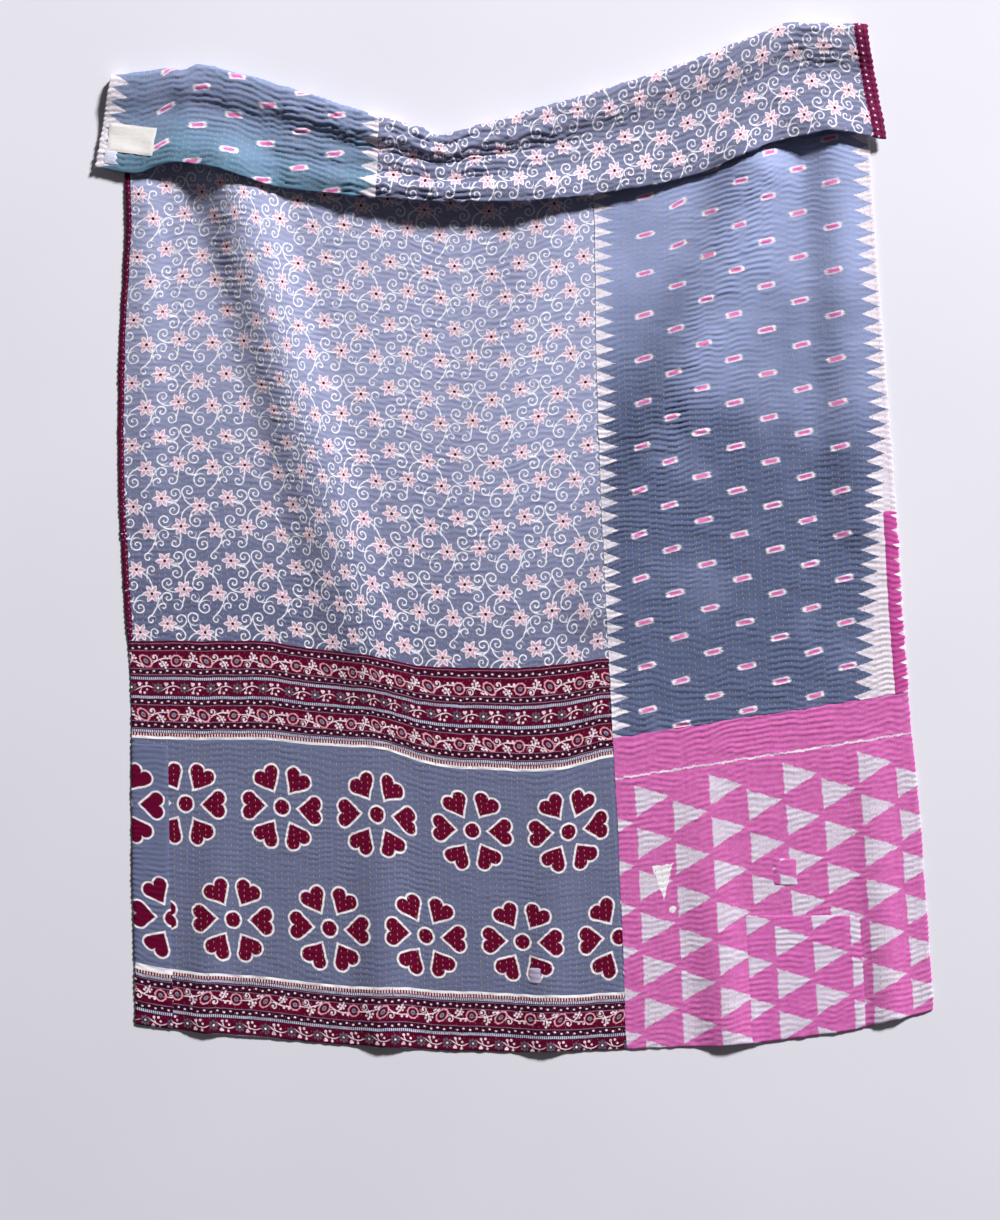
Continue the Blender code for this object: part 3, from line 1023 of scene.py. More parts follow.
def petal_place(tree, seen, petals):
    """How far along the nearest of some petals a place lies, and how far beside its middle."""
    split = add(tree, "SeparateXYZ", seen).node.outputs
    reach = add(tree, "VectorMath", seen, operation="LENGTH")
    angle = add(tree, "Math", split[1], split[0], operation="ARCTAN2")
    folded = add(tree, "Math", angle, math.pi / petals, operation="PINGPONG")
    along = add(tree, "Math", reach, add(tree, "Math", folded, operation="COSINE"), operation="MULTIPLY")
    beside = add(tree, "Math", reach, add(tree, "Math", folded, operation="SINE"), operation="MULTIPLY")
    return along, beside


def petal_depth(tree, seen, petals, radius, width):
    """How deep inside a pointed petal a place is: above 0 inside and below 0 outside."""
    along, beside = petal_place(tree, seen, petals)
    left_over = add(tree, "Math", radius, along, operation="SUBTRACT")
    swell = add(tree, "Math", along, left_over, operation="MULTIPLY")
    swell = add(tree, "Math", swell, 4.0 * width / radius**2, operation="MULTIPLY")
    return add(tree, "Math", swell, beside, operation="SUBTRACT")


print("one repeat of the vine has", len(CURLS), "curls and", len(STEMS), "stems")

# %% The floral cotton
VINE_START = (673.5, 257.7)


def floral_cotton(name, ground, white, start):
    """Printed floral cotton whose repeat starts at a place on the cloth; its ground is painted darker towards the foot
    and lighter towards the head, as shade.
    """
    material, place = new_cotton(name)
    tree = material.node_tree
    # Painted shade: the ground goes from a darker colour at the foot to a lighter one at the head.
    upward = (ground["aslant"], 1.0, 0.0)
    height = add(tree, "VectorMath", place, upward, operation="DOT_PRODUCT").node.outputs["Value"]
    height = add(tree, "MapRange", height, *ground["from_to"], 0.0, 1.0)
    wear_and_painted_shade = add(tree, "Mix", height, colour(ground["foot"]), colour(ground["head"]), data_type="RGBA")
    place = add(tree, "VectorMath", place, (*start, 0.0), operation="SUBTRACT")
    place = ragged(tree, place, 0.9, 9.0)
    vine = None
    for columns, rows, distance in (
        (CURL_COLUMNS, CURLS, curl_distance), (STEM_COLUMNS, STEMS, stem_distance),
    ):
        for row in rows:
            found = distance(tree, place, dict(zip(columns, row)))
            vine = found if vine is None else add(tree, "Math", vine, found, operation="MINIMUM")
    seen, reach = nearest_flower(tree, place, FLOWERS, VINE_CELL)
    depth = petal_depth(tree, seen, 6, FLOWER_RADIUS, PETAL_WIDTH)
    outline = add(tree, "Math", depth, -1.0, operation="MULTIPLY")
    tint = stamped(tree, wear_and_painted_shade, colour(white), vine, VINE_WIDTH, 0.45)
    tint = stamped(tree, tint, colour("#f8f0f8"), outline, 0.35, 0.45)
    tint = stamped(tree, tint, colour("#e2b2cb"), outline, -1.4, 0.7)
    tint = stamped(tree, tint, colour("#f4dfe9"), reach, 4.2, 0.6)
    tint = stamped(tree, tint, colour("#2a0a1e"), reach, 2.7, 0.5)
    return woven(material, place, tint)


floral_print = floral_cotton(
    "printed_floral_cotton",
    {"foot": "#676d8f", "head": "#9da3c7", "from_to": (-60.0, 460.0), "aslant": 0.25},
    "#f1effb", VINE_START,
)
# The turned-down floral is the back's own, duller cloth, and its colours are also painted darker than the face's, as
# shade.
turned_print = floral_cotton(
    "printed_floral_cotton_turned",
    {"foot": "#757a99", "head": "#7f84a3", "from_to": (0.0, 130.0), "aslant": 0.0},
    "#e9e5f2", (30.0, 40.0),
)
for piece, material in (
    (floral_panel, floral_print), (inner_floral, floral_print),
    (turned_floral, turned_print), (back_floral, turned_print),
):
    piece.data.materials.append(material)
print("the floral cotton has", len(floral_print.node_tree.nodes), "nodes")

# %% [markdown]
# ### The ikat
#
# In ikat the threads are tied and dyed before they are woven, so every edge is feathered along
# the threads. Pink dashes in white halos stand in columns, each column a third of a repeat lower
# than the last. White teeth point in from the seam, and more stand along the right edge.

# %% The ikat cotton
DASH_SIZE = (11.0, 3.2)
HALO_SIZE = (16.5, 5.2)
DASH_LEAN = 0.24


def box_distance(tree, seen, size, corner):
    """The distance outside a box with round corners."""
    folded = add(tree, "VectorMath", seen, operation="ABSOLUTE")
    past = add(tree, "VectorMath", folded, (size[0] - corner, size[1] - corner, 0.0), operation="SUBTRACT")
    past = add(tree, "VectorMath", past, (0.0, 0.0, 0.0), operation="MAXIMUM")
    reach = add(tree, "VectorMath", past, operation="LENGTH")
    return add(tree, "Math", reach, corner, operation="SUBTRACT")


def teeth(tree, across, up, pitch, length, start=0.0):
    """Pointed teeth that stand on the line where across is 0: under 0 inside a tooth."""
    turn = add(tree, "Math", up, 1.0 / pitch, start, operation="MULTIPLY_ADD")
    tip = add(tree, "Math", turn, 0.5, operation="PINGPONG")
    return add(tree, "Math", tip, -2.0 * length, across, operation="MULTIPLY_ADD")


def dashes(tree, place, grid):
    """A place seen from the nearest dash, and 1 where there is a column of dashes.

    Each column stands a drop lower than the last.
    """
    pitch = grid["column"]
    split = add(tree, "SeparateXYZ", place).node.outputs
    upright = add(tree, "Math", split[1], -grid["lean"], split[0], operation="MULTIPLY_ADD")
    count = add(tree, "Math", upright, 1.0 / pitch, 0.5 - grid["first"][0] / pitch, operation="MULTIPLY_ADD")
    count = add(tree, "Math", count, operation="FLOOR")
    lift = add(tree, "Math", count, grid["drop"], split[1], operation="MULTIPLY_ADD")
    stepped = add(tree, "CombineXYZ", upright, lift, 0.0)
    seen = repeated(tree, stepped, grid["first"], (pitch, grid["row"]))
    columns = grid["columns"]
    printed = add(tree, "Math", count, (columns - 1) / 2, columns / 2 - 0.1, operation="COMPARE")
    return add(tree, "VectorRotate", seen, None, -DASH_LEAN, rotation_type="Z_AXIS"), printed


def ikat_cotton(name, ground, grid, left_teeth, right_teeth):
    """Ikat with dashes on a grid and a line of teeth along each side; its ground is painted darker towards the foot and
    lighter towards the head, as shade, with dyed tone at random.
    """
    material, place = new_cotton(name)
    tree = material.node_tree
    streaks = add(tree, "VectorMath", place, (0.10, 1.0, 1.0), operation="MULTIPLY")
    streaks = add(tree, "TexNoise", streaks, 0.9, 2.0, 0.7, noise_dimensions="2D")
    slide = add(tree, "CombineXYZ", add(tree, "MapRange", streaks, 0.3, 0.7, -3.0, 3.0), 0.0, 0.0)
    slid = add(tree, "VectorMath", slide, place, operation="ADD")
    seen, printed = dashes(tree, slid, grid)
    halo, core = box_distance(tree, seen, HALO_SIZE, 4.0), box_distance(tree, seen, DASH_SIZE, 2.2)
    split = add(tree, "SeparateXYZ", slid).node.outputs
    dyed = add(tree, "TexNoise", place, 0.006, 2.0, 0.5, noise_dimensions="2D")
    dyed = add(tree, "MapRange", dyed, 0.3, 0.7, -0.25, 0.25)
    # Painted shade: the ground goes from a darker colour at the foot to a lighter one at the head, and the random dye
    # is added on top.
    height = add(tree, "MapRange", split[1], *ground["from_to"], 0.0, 1.0)
    painted_shade_and_dye = add(tree, "Math", height, dyed, operation="ADD")
    tint = add(tree, "Mix", painted_shade_and_dye, colour(ground["foot"]), colour(ground["head"]), data_type="RGBA")
    for shape, soft, ink in ((halo, 1.2, "#f1eaf6"), (core, 1.6, "#e272b6")):
        shape = add(tree, "Math", inside(tree, shape, 0.0, soft), printed, operation="MULTIPLY")
        tint = add(tree, "Mix", shape, tint, colour(ink), data_type="RGBA")
    left_across = add(tree, "Math", split[0], left_teeth["base"], operation="SUBTRACT")
    tooth = teeth(tree, left_across, split[1], left_teeth["pitch"], left_teeth["length"])
    tint = stamped(tree, tint, colour("#ece5f1"), tooth, 0.0, 0.8)
    band = add(tree, "Math", split[1], -right_teeth["widening"], right_teeth["band"], operation="MULTIPLY_ADD")
    band = add(tree, "Math", band, 0.0, operation="MAXIMUM")
    right_across = add(tree, "Math", right_teeth["width"], split[0], operation="SUBTRACT")
    right_across = add(tree, "Math", right_across, band, operation="SUBTRACT")
    tooth = teeth(tree, right_across, split[1], right_teeth["pitch"], right_teeth["length"], 0.3)
    tint = stamped(tree, tint, colour("#e4dae7"), tooth, 0.0, 0.8)
    return woven(material, place, tint, wear=0.14)


ikat_print = ikat_cotton(
    "dyed_ikat_cotton",
    {"foot": "#5c6789", "head": "#99a5cf", "from_to": (130.0, 480.0)},
    {"first": (75.1, 5.0), "column": 60.0, "row": 77.2, "drop": 25.7, "lean": 0.0317, "columns": 7},
    {"base": -4.0, "pitch": 24.5, "length": 37.0},
    {"width": BLOCK_WIDTHS["right"] * MM, "band": 28.0, "widening": 0.120, "pitch": 25.9, "length": 34.0},
)
turned_ikat_print = ikat_cotton(
    "dyed_ikat_cotton_turned",
    {"foot": "#6386a0", "head": "#8490b4", "from_to": (0.0, 130.0)},
    {"first": (112.0, 36.0), "column": 62.7, "row": 66.0, "drop": 33.0, "lean": 0.0, "columns": 6},
    {"base": 6.0, "pitch": 23.0, "length": 32.0},
    {"width": BACK_SEAM * BACK_WIDTH * MM, "band": 0.0, "widening": 0.0, "pitch": 23.8, "length": 32.0},
)
for piece, material in (
    (ikat_panel, ikat_print), (inner_ikat, ikat_print),
    (turned_ikat, turned_ikat_print), (back_ikat, turned_ikat_print),
):
    piece.data.materials.append(material)
print("the ikat's dashes are", 2 * HALO_SIZE[0], "mm long")

# %% [markdown]
# ### The hearts
#
# The lower ground is block-printed with big rosettes. Each is a disc with six hearts round it,
# points inward, in maroon with a white outline. There are two rows, and the lower one stands half
# a repeat across.

# %% The hearts cotton
ROSETTE_CELL = (176.0, 196.0)
ROSETTE_FIRST = (95.0, -469.0)
HEART_TIP = 30.5
LOBE = {"along": 29.5, "beside": 11.0, "radius": 11.8}
DISC_RADIUS = 12.8
OUTLINE = 3.6


def hearts_cotton(name, ground):
    material, place = new_cotton(name)
    tree = material.node_tree
    worked = ragged(tree, place, 1.2, 14.0)
    split = add(tree, "SeparateXYZ", worked).node.outputs
    count = add(tree, "Math", split[1], -1.0 / ROSETTE_CELL[1],
                0.5 + ROSETTE_FIRST[1] / ROSETTE_CELL[1], operation="MULTIPLY_ADD")
    count = add(tree, "Math", count, operation="FLOOR")
    stepped = add(tree, "Math", count, -0.48 * ROSETTE_CELL[0], split[0], operation="MULTIPLY_ADD")
    seen = repeated(tree, add(tree, "CombineXYZ", stepped, split[1], 0.0), ROSETTE_FIRST, ROSETTE_CELL)
    reach = add(tree, "VectorMath", seen, operation="LENGTH")
    along, beside = petal_place(tree, seen, 6)
    along = add(tree, "Math", along, HEART_TIP, operation="SUBTRACT")
    local = add(tree, "CombineXYZ", along, beside, 0.0)
    lobe = add(tree, "VectorMath", local, (LOBE["along"], LOBE["beside"], 0.0), operation="SUBTRACT")
    lobe = add(tree, "VectorMath", lobe, operation="LENGTH")
    lobe = add(tree, "Math", lobe, LOBE["radius"], operation="SUBTRACT")
    far = math.hypot(LOBE["along"], LOBE["beside"])
    flank_angle = math.atan2(LOBE["beside"], LOBE["along"]) + math.asin(LOBE["radius"] / far)
    touch = math.sqrt(far**2 - LOBE["radius"] ** 2)
    across_flank = (-math.sin(flank_angle), math.cos(flank_angle), 0.0)
    along_flank = (math.cos(flank_angle), math.sin(flank_angle), 0.0)
    side = add(tree, "VectorMath", local, across_flank, operation="DOT_PRODUCT")
    down_flank = add(tree, "VectorMath", local, along_flank, operation="DOT_PRODUCT")
    side = add(tree, "Math", side, add(tree, "Math", down_flank, touch, operation="SUBTRACT"), operation="MAXIMUM")
    beyond = add(tree, "Math", along, LOBE["along"], operation="SUBTRACT")
    side = add(tree, "Math", side, beyond, operation="MAXIMUM")
    heart = add(tree, "Math", lobe, side, operation="MINIMUM")
    disc = add(tree, "Math", reach, DISC_RADIUS, operation="SUBTRACT")
    rosette = add(tree, "Math", heart, disc, operation="MINIMUM")
    tint = stamped(tree, colour(ground), colour("#f4eef4"), rosette, OUTLINE, 0.6)
    tint = stamped(tree, tint, colour("#66002e"), rosette, 0.0, 0.7)
    return woven(material, place, tint)


hearts_print = hearts_cotton("block_printed_hearts_cotton", "#6b7292")
for piece in (hearts_panel, strip_hearts):
    piece.data.materials.append(hearts_print)

# %% [markdown]
# ### The pink cloth
#
# The pink cloth is printed with pale triangles that point right, each column half a step lower
# than the last. One wavy white line runs along under its upper edge, with plain pink above.

# %% The pink cotton
TRIANGLE_CELL = (66.2, 74.5)
TRIANGLE_FIRST = (33.0, -469.0)
TRIANGLE = {"length": 60.0, "half_base": 27.5}
TRIANGLE_HIGHEST = -452.0
WHITE_LINE_Y, WHITE_LINE_WIDTH = -425.0, 1.7
KITE = {"x": 76.0, "top": -587.6, "tip": -650.0, "slope": 0.29}
DARN = {"x": 89.0, "y": -668.0, "radius": 6.3}


def pink_cotton(name, ground):
    material, place = new_cotton(name)
    tree = material.node_tree
    worked = ragged(tree, place, 3.2, 11.0)
    split = add(tree, "SeparateXYZ", worked).node.outputs
    count = add(tree, "Math", split[0], 1.0 / TRIANGLE_CELL[0], -TRIANGLE_FIRST[0] / TRIANGLE_CELL[0],
                operation="MULTIPLY_ADD")
    count = add(tree, "Math", count, operation="FLOOR")
    lift = add(tree, "Math", count, TRIANGLE_CELL[1] / 2, split[1], operation="MULTIPLY_ADD")
    middle = (TRIANGLE_FIRST[0] + TRIANGLE_CELL[0] / 2, TRIANGLE_FIRST[1])
    seen = repeated(tree, add(tree, "CombineXYZ", split[0], lift, 0.0), middle, TRIANGLE_CELL)
    local = add(tree, "SeparateXYZ", seen).node.outputs
    along = add(tree, "Math", local[0], TRIANGLE_CELL[0] / 2, operation="ADD")
    beside = add(tree, "Math", local[1], operation="ABSOLUTE")
    slope = TRIANGLE["half_base"] / TRIANGLE["length"]
    flank = add(tree, "Math", along, slope, -TRIANGLE["half_base"], operation="MULTIPLY_ADD")
    flank = add(tree, "Math", flank, beside, operation="ADD")
    back = add(tree, "Math", 1.0, along, operation="SUBTRACT")
    triangle = add(tree, "Math", flank, back, operation="MAXIMUM")
    cell_middle = add(tree, "Math", split[1], local[1], operation="SUBTRACT")
    too_high = add(tree, "Math", cell_middle, TRIANGLE_HIGHEST, operation="SUBTRACT")
    triangle = add(tree, "Math", triangle, too_high, operation="MAXIMUM")
    patchy = add(tree, "TexNoise", place, 0.09, 3.0, 0.6, noise_dimensions="2D")
    dyed = add(tree, "MapRange", patchy, 0.3, 0.7, 0.0, 1.0)
    tint = add(tree, "Mix", dyed, colour(ground[0]), colour(ground[1]), data_type="RGBA")
    pale = add(tree, "Mix", dyed, colour("#dfd6e8"), colour("#dbcae0"), data_type="RGBA")
    tint = stamped(tree, tint, pale, triangle, 0.0, 1.6)
    line = add(tree, "Math", split[1], -WHITE_LINE_Y, operation="ADD")
    line = add(tree, "Math", line, operation="ABSOLUTE")
    tint = stamped(tree, tint, colour("#efdff0"), line, WHITE_LINE_WIDTH, 0.7)
    beside = add(tree, "Math", split[0], KITE["x"], operation="SUBTRACT")
    beside = add(tree, "Math", beside, operation="ABSOLUTE")
    narrow = add(tree, "Math", split[1], -KITE["slope"], KITE["slope"] * KITE["tip"], operation="MULTIPLY_ADD")
    kite = add(tree, "Math", split[1], KITE["top"], operation="SUBTRACT")
    kite = add(tree, "Math", kite, add(tree, "Math", beside, narrow, operation="ADD"), operation="MAXIMUM")
    darn = add(tree, "VectorMath", worked, (DARN["x"], DARN["y"], 0.0), operation="DISTANCE")
    darn = add(tree, "Math", darn, DARN["radius"], operation="SUBTRACT")
    mend = add(tree, "Math", kite, darn, operation="MINIMUM")
    tint = stamped(tree, tint, colour("#f6f1f7"), mend, 0.0, 0.7)
    return woven(material, place, tint, wear=0.12)


pink_print = pink_cotton("printed_pink_cotton", ("#d164ae", "#da74bb"))
for piece in (pink_panel, pink_lap, pink_patch):
    piece.data.materials.append(pink_print)

# %% The notched pink strip
edge_material, edge_place = new_cotton("notched_pink_cotton")
edge_tree = edge_material.node_tree
edge_split = add(edge_tree, "SeparateXYZ", ragged(edge_tree, edge_place, 1.2, 8.0)).node.outputs
edge_across = add(edge_tree, "Math", 49.0, edge_split[0], operation="SUBTRACT")
edge_tooth = teeth(edge_tree, edge_across, edge_split[1], 25.8, 34.0)
edge_tint = stamped(edge_tree, colour("#c6529c"), colour("#efe4f1"), edge_tooth, 0.0, 0.8)
woven(edge_material, edge_place, edge_tint)
edge_strip.data.materials.append(edge_material)

# %% [markdown]
# ### The border
#
# The maroon border is a stack of narrow rows, and every row's height is counted up from the foot
# of its white line. A comb stands on that line. Then come a hatched row, a row of dots between two
# thin grey lines, a row of rings and sprays, dots, a hatched row, and in the middle a row of small
# grey flowers and sprigs. Above the middle the same rows come back the other way round.

# %% Chart of the border, in millimetres
RING_REPEAT = (107.4, 400.0)
FLOWER_REPEAT = (47.0, 400.0)
DOT_REPEAT = 11.8
HATCH_PITCH = 3.6
COMB_PITCH = 5.1
WHITE_LINE_TOP, COMB_TOP = 4.8, 11.2
DOT_ROWS = (24.3, 66.6, 120.8, 163.7)
GREY_LINES = (18.3, 31.1, 60.9, 115.4, 125.8, 158.6, 171.4)
HATCH_ROWS = (13.6, 74.6, 108.6)
RING_ROWS = (43.3, 140.1)
FLOWER_ROW = 91.6
RING_STARTS = (73.9, 81.3)
FLOWER_START = 0.0
SPRAY_PITCH = 5.4
SPRAY_CURLS = (
    (19.6, -7.6, 5.6, 50, -1),
    (68.2, 6.6, 6.0, 308, 1),
)
SPRAY_STEMS = (
    (12.8, 1.4, None, 42.0, -4.4, 0.05),
    (27.0, -2.0, None, 28.6, 11.8, -0.10),
    (66.4, -3.2, None, 96.0, 4.2, 0.10),
    (79.6, 1.0, None, 88.0, -11.4, 0.08),
)
BERRY_COLUMNS = ("x", "y", "radius")
BERRIES = (
    (18.2, -6.8, 2.5), (27.2, 13.0, 2.1), (23.6, 7.4, 2.1), (32.4, 9.2, 2.2), (35.4, 4.4, 2.1),
    (24.6, 2.6, 1.9), (30.2, 4.8, 2.4), (28.4, 0.4, 2.2), (39.6, -7.8, 2.0), (42.2, -9.6, 1.6),
    (46.0, -8.0, 2.2), (48.4, -9.8, 1.8), (36.4, -1.4, 1.7), (66.8, 7.2, 2.4), (78.8, -5.2, 2.2),
    (83.4, -2.4, 2.3), (88.6, -3.4, 2.1), (91.6, -7.8, 1.9), (81.6, -9.2, 2.2), (86.4, -7.6, 2.3),
    (88.6, -12.0, 1.8), (87.4, 7.4, 2.2), (96.6, 7.6, 2.4), (91.6, 4.4, 1.6),
)
SPRIG_STEMS = (
    (10.6, -2.4, None, 23.0, 2.6, 0.06),
    (23.0, 2.6, None, 35.6, 1.2, 0.12),
    (18.2, 0.2, None, 16.0, -5.6, -0.06),
)
SPRIG_BERRIES = (
    (12.8, 7.6, 2.2), (16.0, 7.4, 2.2), (14.4, 5.2, 2.2), (26.2, 8.4, 2.3), (26.0, 5.0, 1.0),
    (15.4, -8.0, 2.5), (23.2, -8.8, 2.3), (27.6, -2.8, 2.0),
)


def charted(tree, place, cell, curls=(), stems=(), berries=(), width=1.0):
    """The distance outside a line drawing made of curls, stems and round berries."""
    lines = [curl_distance(tree, place, dict(zip(CURL_COLUMNS, row)), cell, SPRAY_PITCH) for row in curls]
    lines += [stem_distance(tree, place, dict(zip(STEM_COLUMNS, row)), cell) for row in stems]
    total = lines[0]
    for line in lines[1:]:
        total = add(tree, "Math", total, line, operation="MINIMUM")
    total = add(tree, "Math", total, width, operation="SUBTRACT")
    for row in berries:
        berry = dict(zip(BERRY_COLUMNS, row))
        seen = repeated(tree, place, (berry["x"], berry["y"]), cell)
        found = add(tree, "VectorMath", seen, operation="LENGTH")
        found = add(tree, "Math", found, berry["radius"], operation="SUBTRACT")
        total = add(tree, "Math", total, found, operation="MINIMUM")
    return total


def row_distance(tree, height, rows):
    """The distance from the nearest of some rows."""
    total = None
    for row in rows:
        away = add(tree, "Math", add(tree, "Math", height, row, operation="SUBTRACT"), operation="ABSOLUTE")
        total = away if total is None else add(tree, "Math", total, away, operation="MINIMUM")
    return total


print("the border has", len(DOT_ROWS), "rows of dots and", len(RING_ROWS), "rows of rings")

# %% The border cotton


def border_cotton(name, ground, line_y, up):
    """The border, measured from its white line; up is -1 where it hangs below that line."""
    material, place = new_cotton(name)
    tree = material.node_tree
    worked = ragged(tree, place, 0.7, 9.0)
    split = add(tree, "SeparateXYZ", worked).node.outputs
    height = add(tree, "Math", split[1], up, -line_y * up, operation="MULTIPLY_ADD")
    white, maroon = colour("#f3dfea"), colour(ground)

    # The dark bands with their dots, which swing up and down along the row.
    dotted = row_distance(tree, height, DOT_ROWS)
    tint = stamped(tree, maroon, colour("#3a0624"), dotted, 5.6, 0.5)
    swing = add(tree, "Math", split[0], math.pi / DOT_REPEAT, operation="MULTIPLY")
    swing = add(tree, "Math", add(tree, "Math", swing, operation="SINE"), 1.3, height, operation="MULTIPLY_ADD")
    level = row_distance(tree, swing, DOT_ROWS)
    dot = repeated(tree, add(tree, "CombineXYZ", split[0], level, 0.0), (DOT_REPEAT / 2, 0.0), (DOT_REPEAT, 400.0))
    dot = add(tree, "VectorMath", dot, (0.74, 1.0, 1.0), operation="MULTIPLY")
    tint = stamped(tree, tint, white, add(tree, "VectorMath", dot, operation="LENGTH"), 1.6, 0.5)
    line = row_distance(tree, height, GREY_LINES)
    tint = stamped(tree, tint, colour("#8b7892"), line, 0.55, 0.45)

    # The hatched rows: pale strokes on slate between two dark lines.
    away = row_distance(tree, height, HATCH_ROWS)
    tint = stamped(tree, tint, colour("#330a24"), away, 4.1, 0.4)
    tint = stamped(tree, tint, colour("#666c8b"), away, 2.7, 0.4)
    hatch = add(tree, "Math", split[0], 1.0 / HATCH_PITCH, operation="MULTIPLY")
    hatch = add(tree, "Math", hatch, 0.5, operation="PINGPONG")
    hatch = add(tree, "Math", inside(tree, hatch, 0.22, 0.1), inside(tree, away, 2.3, 0.4), operation="MULTIPLY")
    tint = add(tree, "Mix", hatch, tint, colour("#dcd8ea"), data_type="RGBA")

    # The middle row: a grey flower with a white eye, then a white sprig.
    level = add(tree, "CombineXYZ", split[0], add(tree, "Math", height, FLOWER_ROW, operation="SUBTRACT"), 0.0)
    level = add(tree, "VectorMath", level, (FLOWER_START, 0.0, 0.0), operation="SUBTRACT")
    seen = repeated(tree, level, (0.0, 0.0), FLOWER_REPEAT)
    reach = add(tree, "VectorMath", seen, operation="LENGTH")
    along, beside = petal_place(tree, seen, 8)
    petal = add(tree, "Math", add(tree, "Math", along, 6.6, operation="SUBTRACT"), 0.70, operation="MULTIPLY")
    petal = add(tree, "VectorMath", add(tree, "CombineXYZ", petal, beside, 0.0), operation="LENGTH")
    tint = stamped(tree, tint, colour("#566074"), petal, 1.9, 0.45)
    tint = stamped(tree, tint, colour("#f7ece6"), reach, 2.1, 0.4)
    sprig = charted(tree, level, FLOWER_REPEAT, (), SPRIG_STEMS, SPRIG_BERRIES, 0.85)
    tint = stamped(tree, tint, white, sprig, 0.0, 0.5)

    # The rings and sprays, whose chart is moved to the lower or the upper row.
    upper = add(tree, "Math", height, FLOWER_ROW, operation="GREATER_THAN")
    row_y = add(tree, "MapRange", upper, 0.0, 1.0, *RING_ROWS)
    row_y = add(tree, "Math", height, row_y, operation="SUBTRACT")
    row_x = add(tree, "MapRange", upper, 0.0, 1.0, *RING_STARTS)
    level = add(tree, "CombineXYZ", add(tree, "Math", split[0], row_x, operation="SUBTRACT"), row_y, 0.0)
    for start, stretch, lean in ((0.0, (1.0, 1.0, 0.0), 0.0), (53.4, (0.76, 1.20, 0.0), 0.80)):
        seen = repeated(tree, level, (start, 0.0), RING_REPEAT)
        turned = add(tree, "VectorRotate", seen, None, lean, rotation_type="Z_AXIS")
        ring = add(tree, "VectorMath", turned, stretch, operation="MULTIPLY")
        parts = add(tree, "SeparateXYZ", ring).node.outputs
        beads = add(tree, "Math", add(tree, "Math", parts[1], parts[0], operation="ARCTAN2"), 9.0, operation="MULTIPLY")
        beads = add(tree, "Math", add(tree, "Math", beads, operation="SINE"), 0.4, operation="MULTIPLY")
        ring = add(tree, "VectorMath", ring, operation="LENGTH")
        edge = add(tree, "Math", ring, beads, operation="ADD")
        tint = stamped(tree, tint, colour("#e9a7b4"), edge, 10.8, 0.5)
        tint = stamped(tree, tint, maroon, ring, 8.3, 0.5)
        tint = stamped(tree, tint, colour("#8b93a9"), ring, 3.8, 0.6)
        tint = stamped(tree, tint, colour("#5d6b80"), ring, 2.2, 0.8)
    spray = charted(tree, level, RING_REPEAT, SPRAY_CURLS, SPRAY_STEMS, BERRIES, 1.0)
    tint = stamped(tree, tint, white, spray, 0.0, 0.5)

    # The comb's dark teeth between pale ones, and the white line.
    comb = add(tree, "Math", split[0], 1.0 / COMB_PITCH, operation="MULTIPLY")
    comb = add(tree, "Math", comb, 0.5, operation="PINGPONG")
    tint = stamped(tree, tint, colour("#45041f"), height, COMB_TOP, 0.5)
    below_tips = inside(tree, height, COMB_TOP - 0.8, 0.5)
    tooth = add(tree, "Math", inside(tree, comb, 0.24, 0.08), below_tips, operation="MULTIPLY")
    tint = add(tree, "Mix", tooth, tint, colour("#efc6c8"), data_type="RGBA")
    tint = stamped(tree, tint, colour("#f8f4fa"), height, WHITE_LINE_TOP, 0.5)
    return woven(material, place, tint)


border_print = border_cotton("printed_border_cotton", "#5f0029", BORDER_FOOT * MM, 1.0)
foot_print = border_cotton("printed_border_cotton_foot", "#5f0029", FOOT_BORDER_TOP * MM, -1.0)
for piece, material in ((border_panel, border_print), (foot_border, foot_print), (strip_border, foot_print)):
    piece.data.materials.append(material)
print("the border cotton has", len(border_print.node_tree.nodes), "nodes")

# %% The bindings


def binding_cotton(name, width, ground, dot_radius, dot_ink):
    """Maroon cloth cut from along a border, with a line of white dots between dark lines."""
    material, place = new_cotton(name)
    tree = material.node_tree
    worked = ragged(tree, place, 0.7, 7.0)
    split = add(tree, "SeparateXYZ", worked).node.outputs
    tint = colour(ground)
    for share in (0.26, 0.76):
        away = add(tree, "Math", split[0], width * share, operation="SUBTRACT")
        away = add(tree, "Math", away, operation="ABSOLUTE")
        tint = stamped(tree, tint, colour("#45102f"), away, 0.8, 0.4)
    seen = repeated(tree, worked, (width / 2, 0.0), (400.0, 12.3))
    dot = add(tree, "VectorMath", seen, operation="LENGTH")
    tint = stamped(tree, tint, colour(dot_ink), dot, dot_radius, 0.5)
    return woven(material, place, tint)


for piece, *look in (
    (left_binding, 15.0, "#660c38", 1.3, "#b595a8"),
    (turned_binding, 25.0, "#74204a", 1.7, "#e6d8e3"),
):
    piece.data.materials.append(binding_cotton("maroon_binding_cotton", *look))

# %% The lilac patch
lilac, lilac_place = new_cotton("plain_lilac_cotton")
lilac_patch.data.materials.append(woven(lilac, lilac_place, colour("#b3a9c6")[:3]))

# %% [markdown]
# ### The sewing thread
#
# The running stitch is a thick, soft yellow cotton thread. Each stitch is only a few millimetres
# long, so all that the eye gets is its colour, which differs a little from stitch to stitch. The
# maroon cloth has bled into the thread on the two borders and dyed it red.

# %% The thread


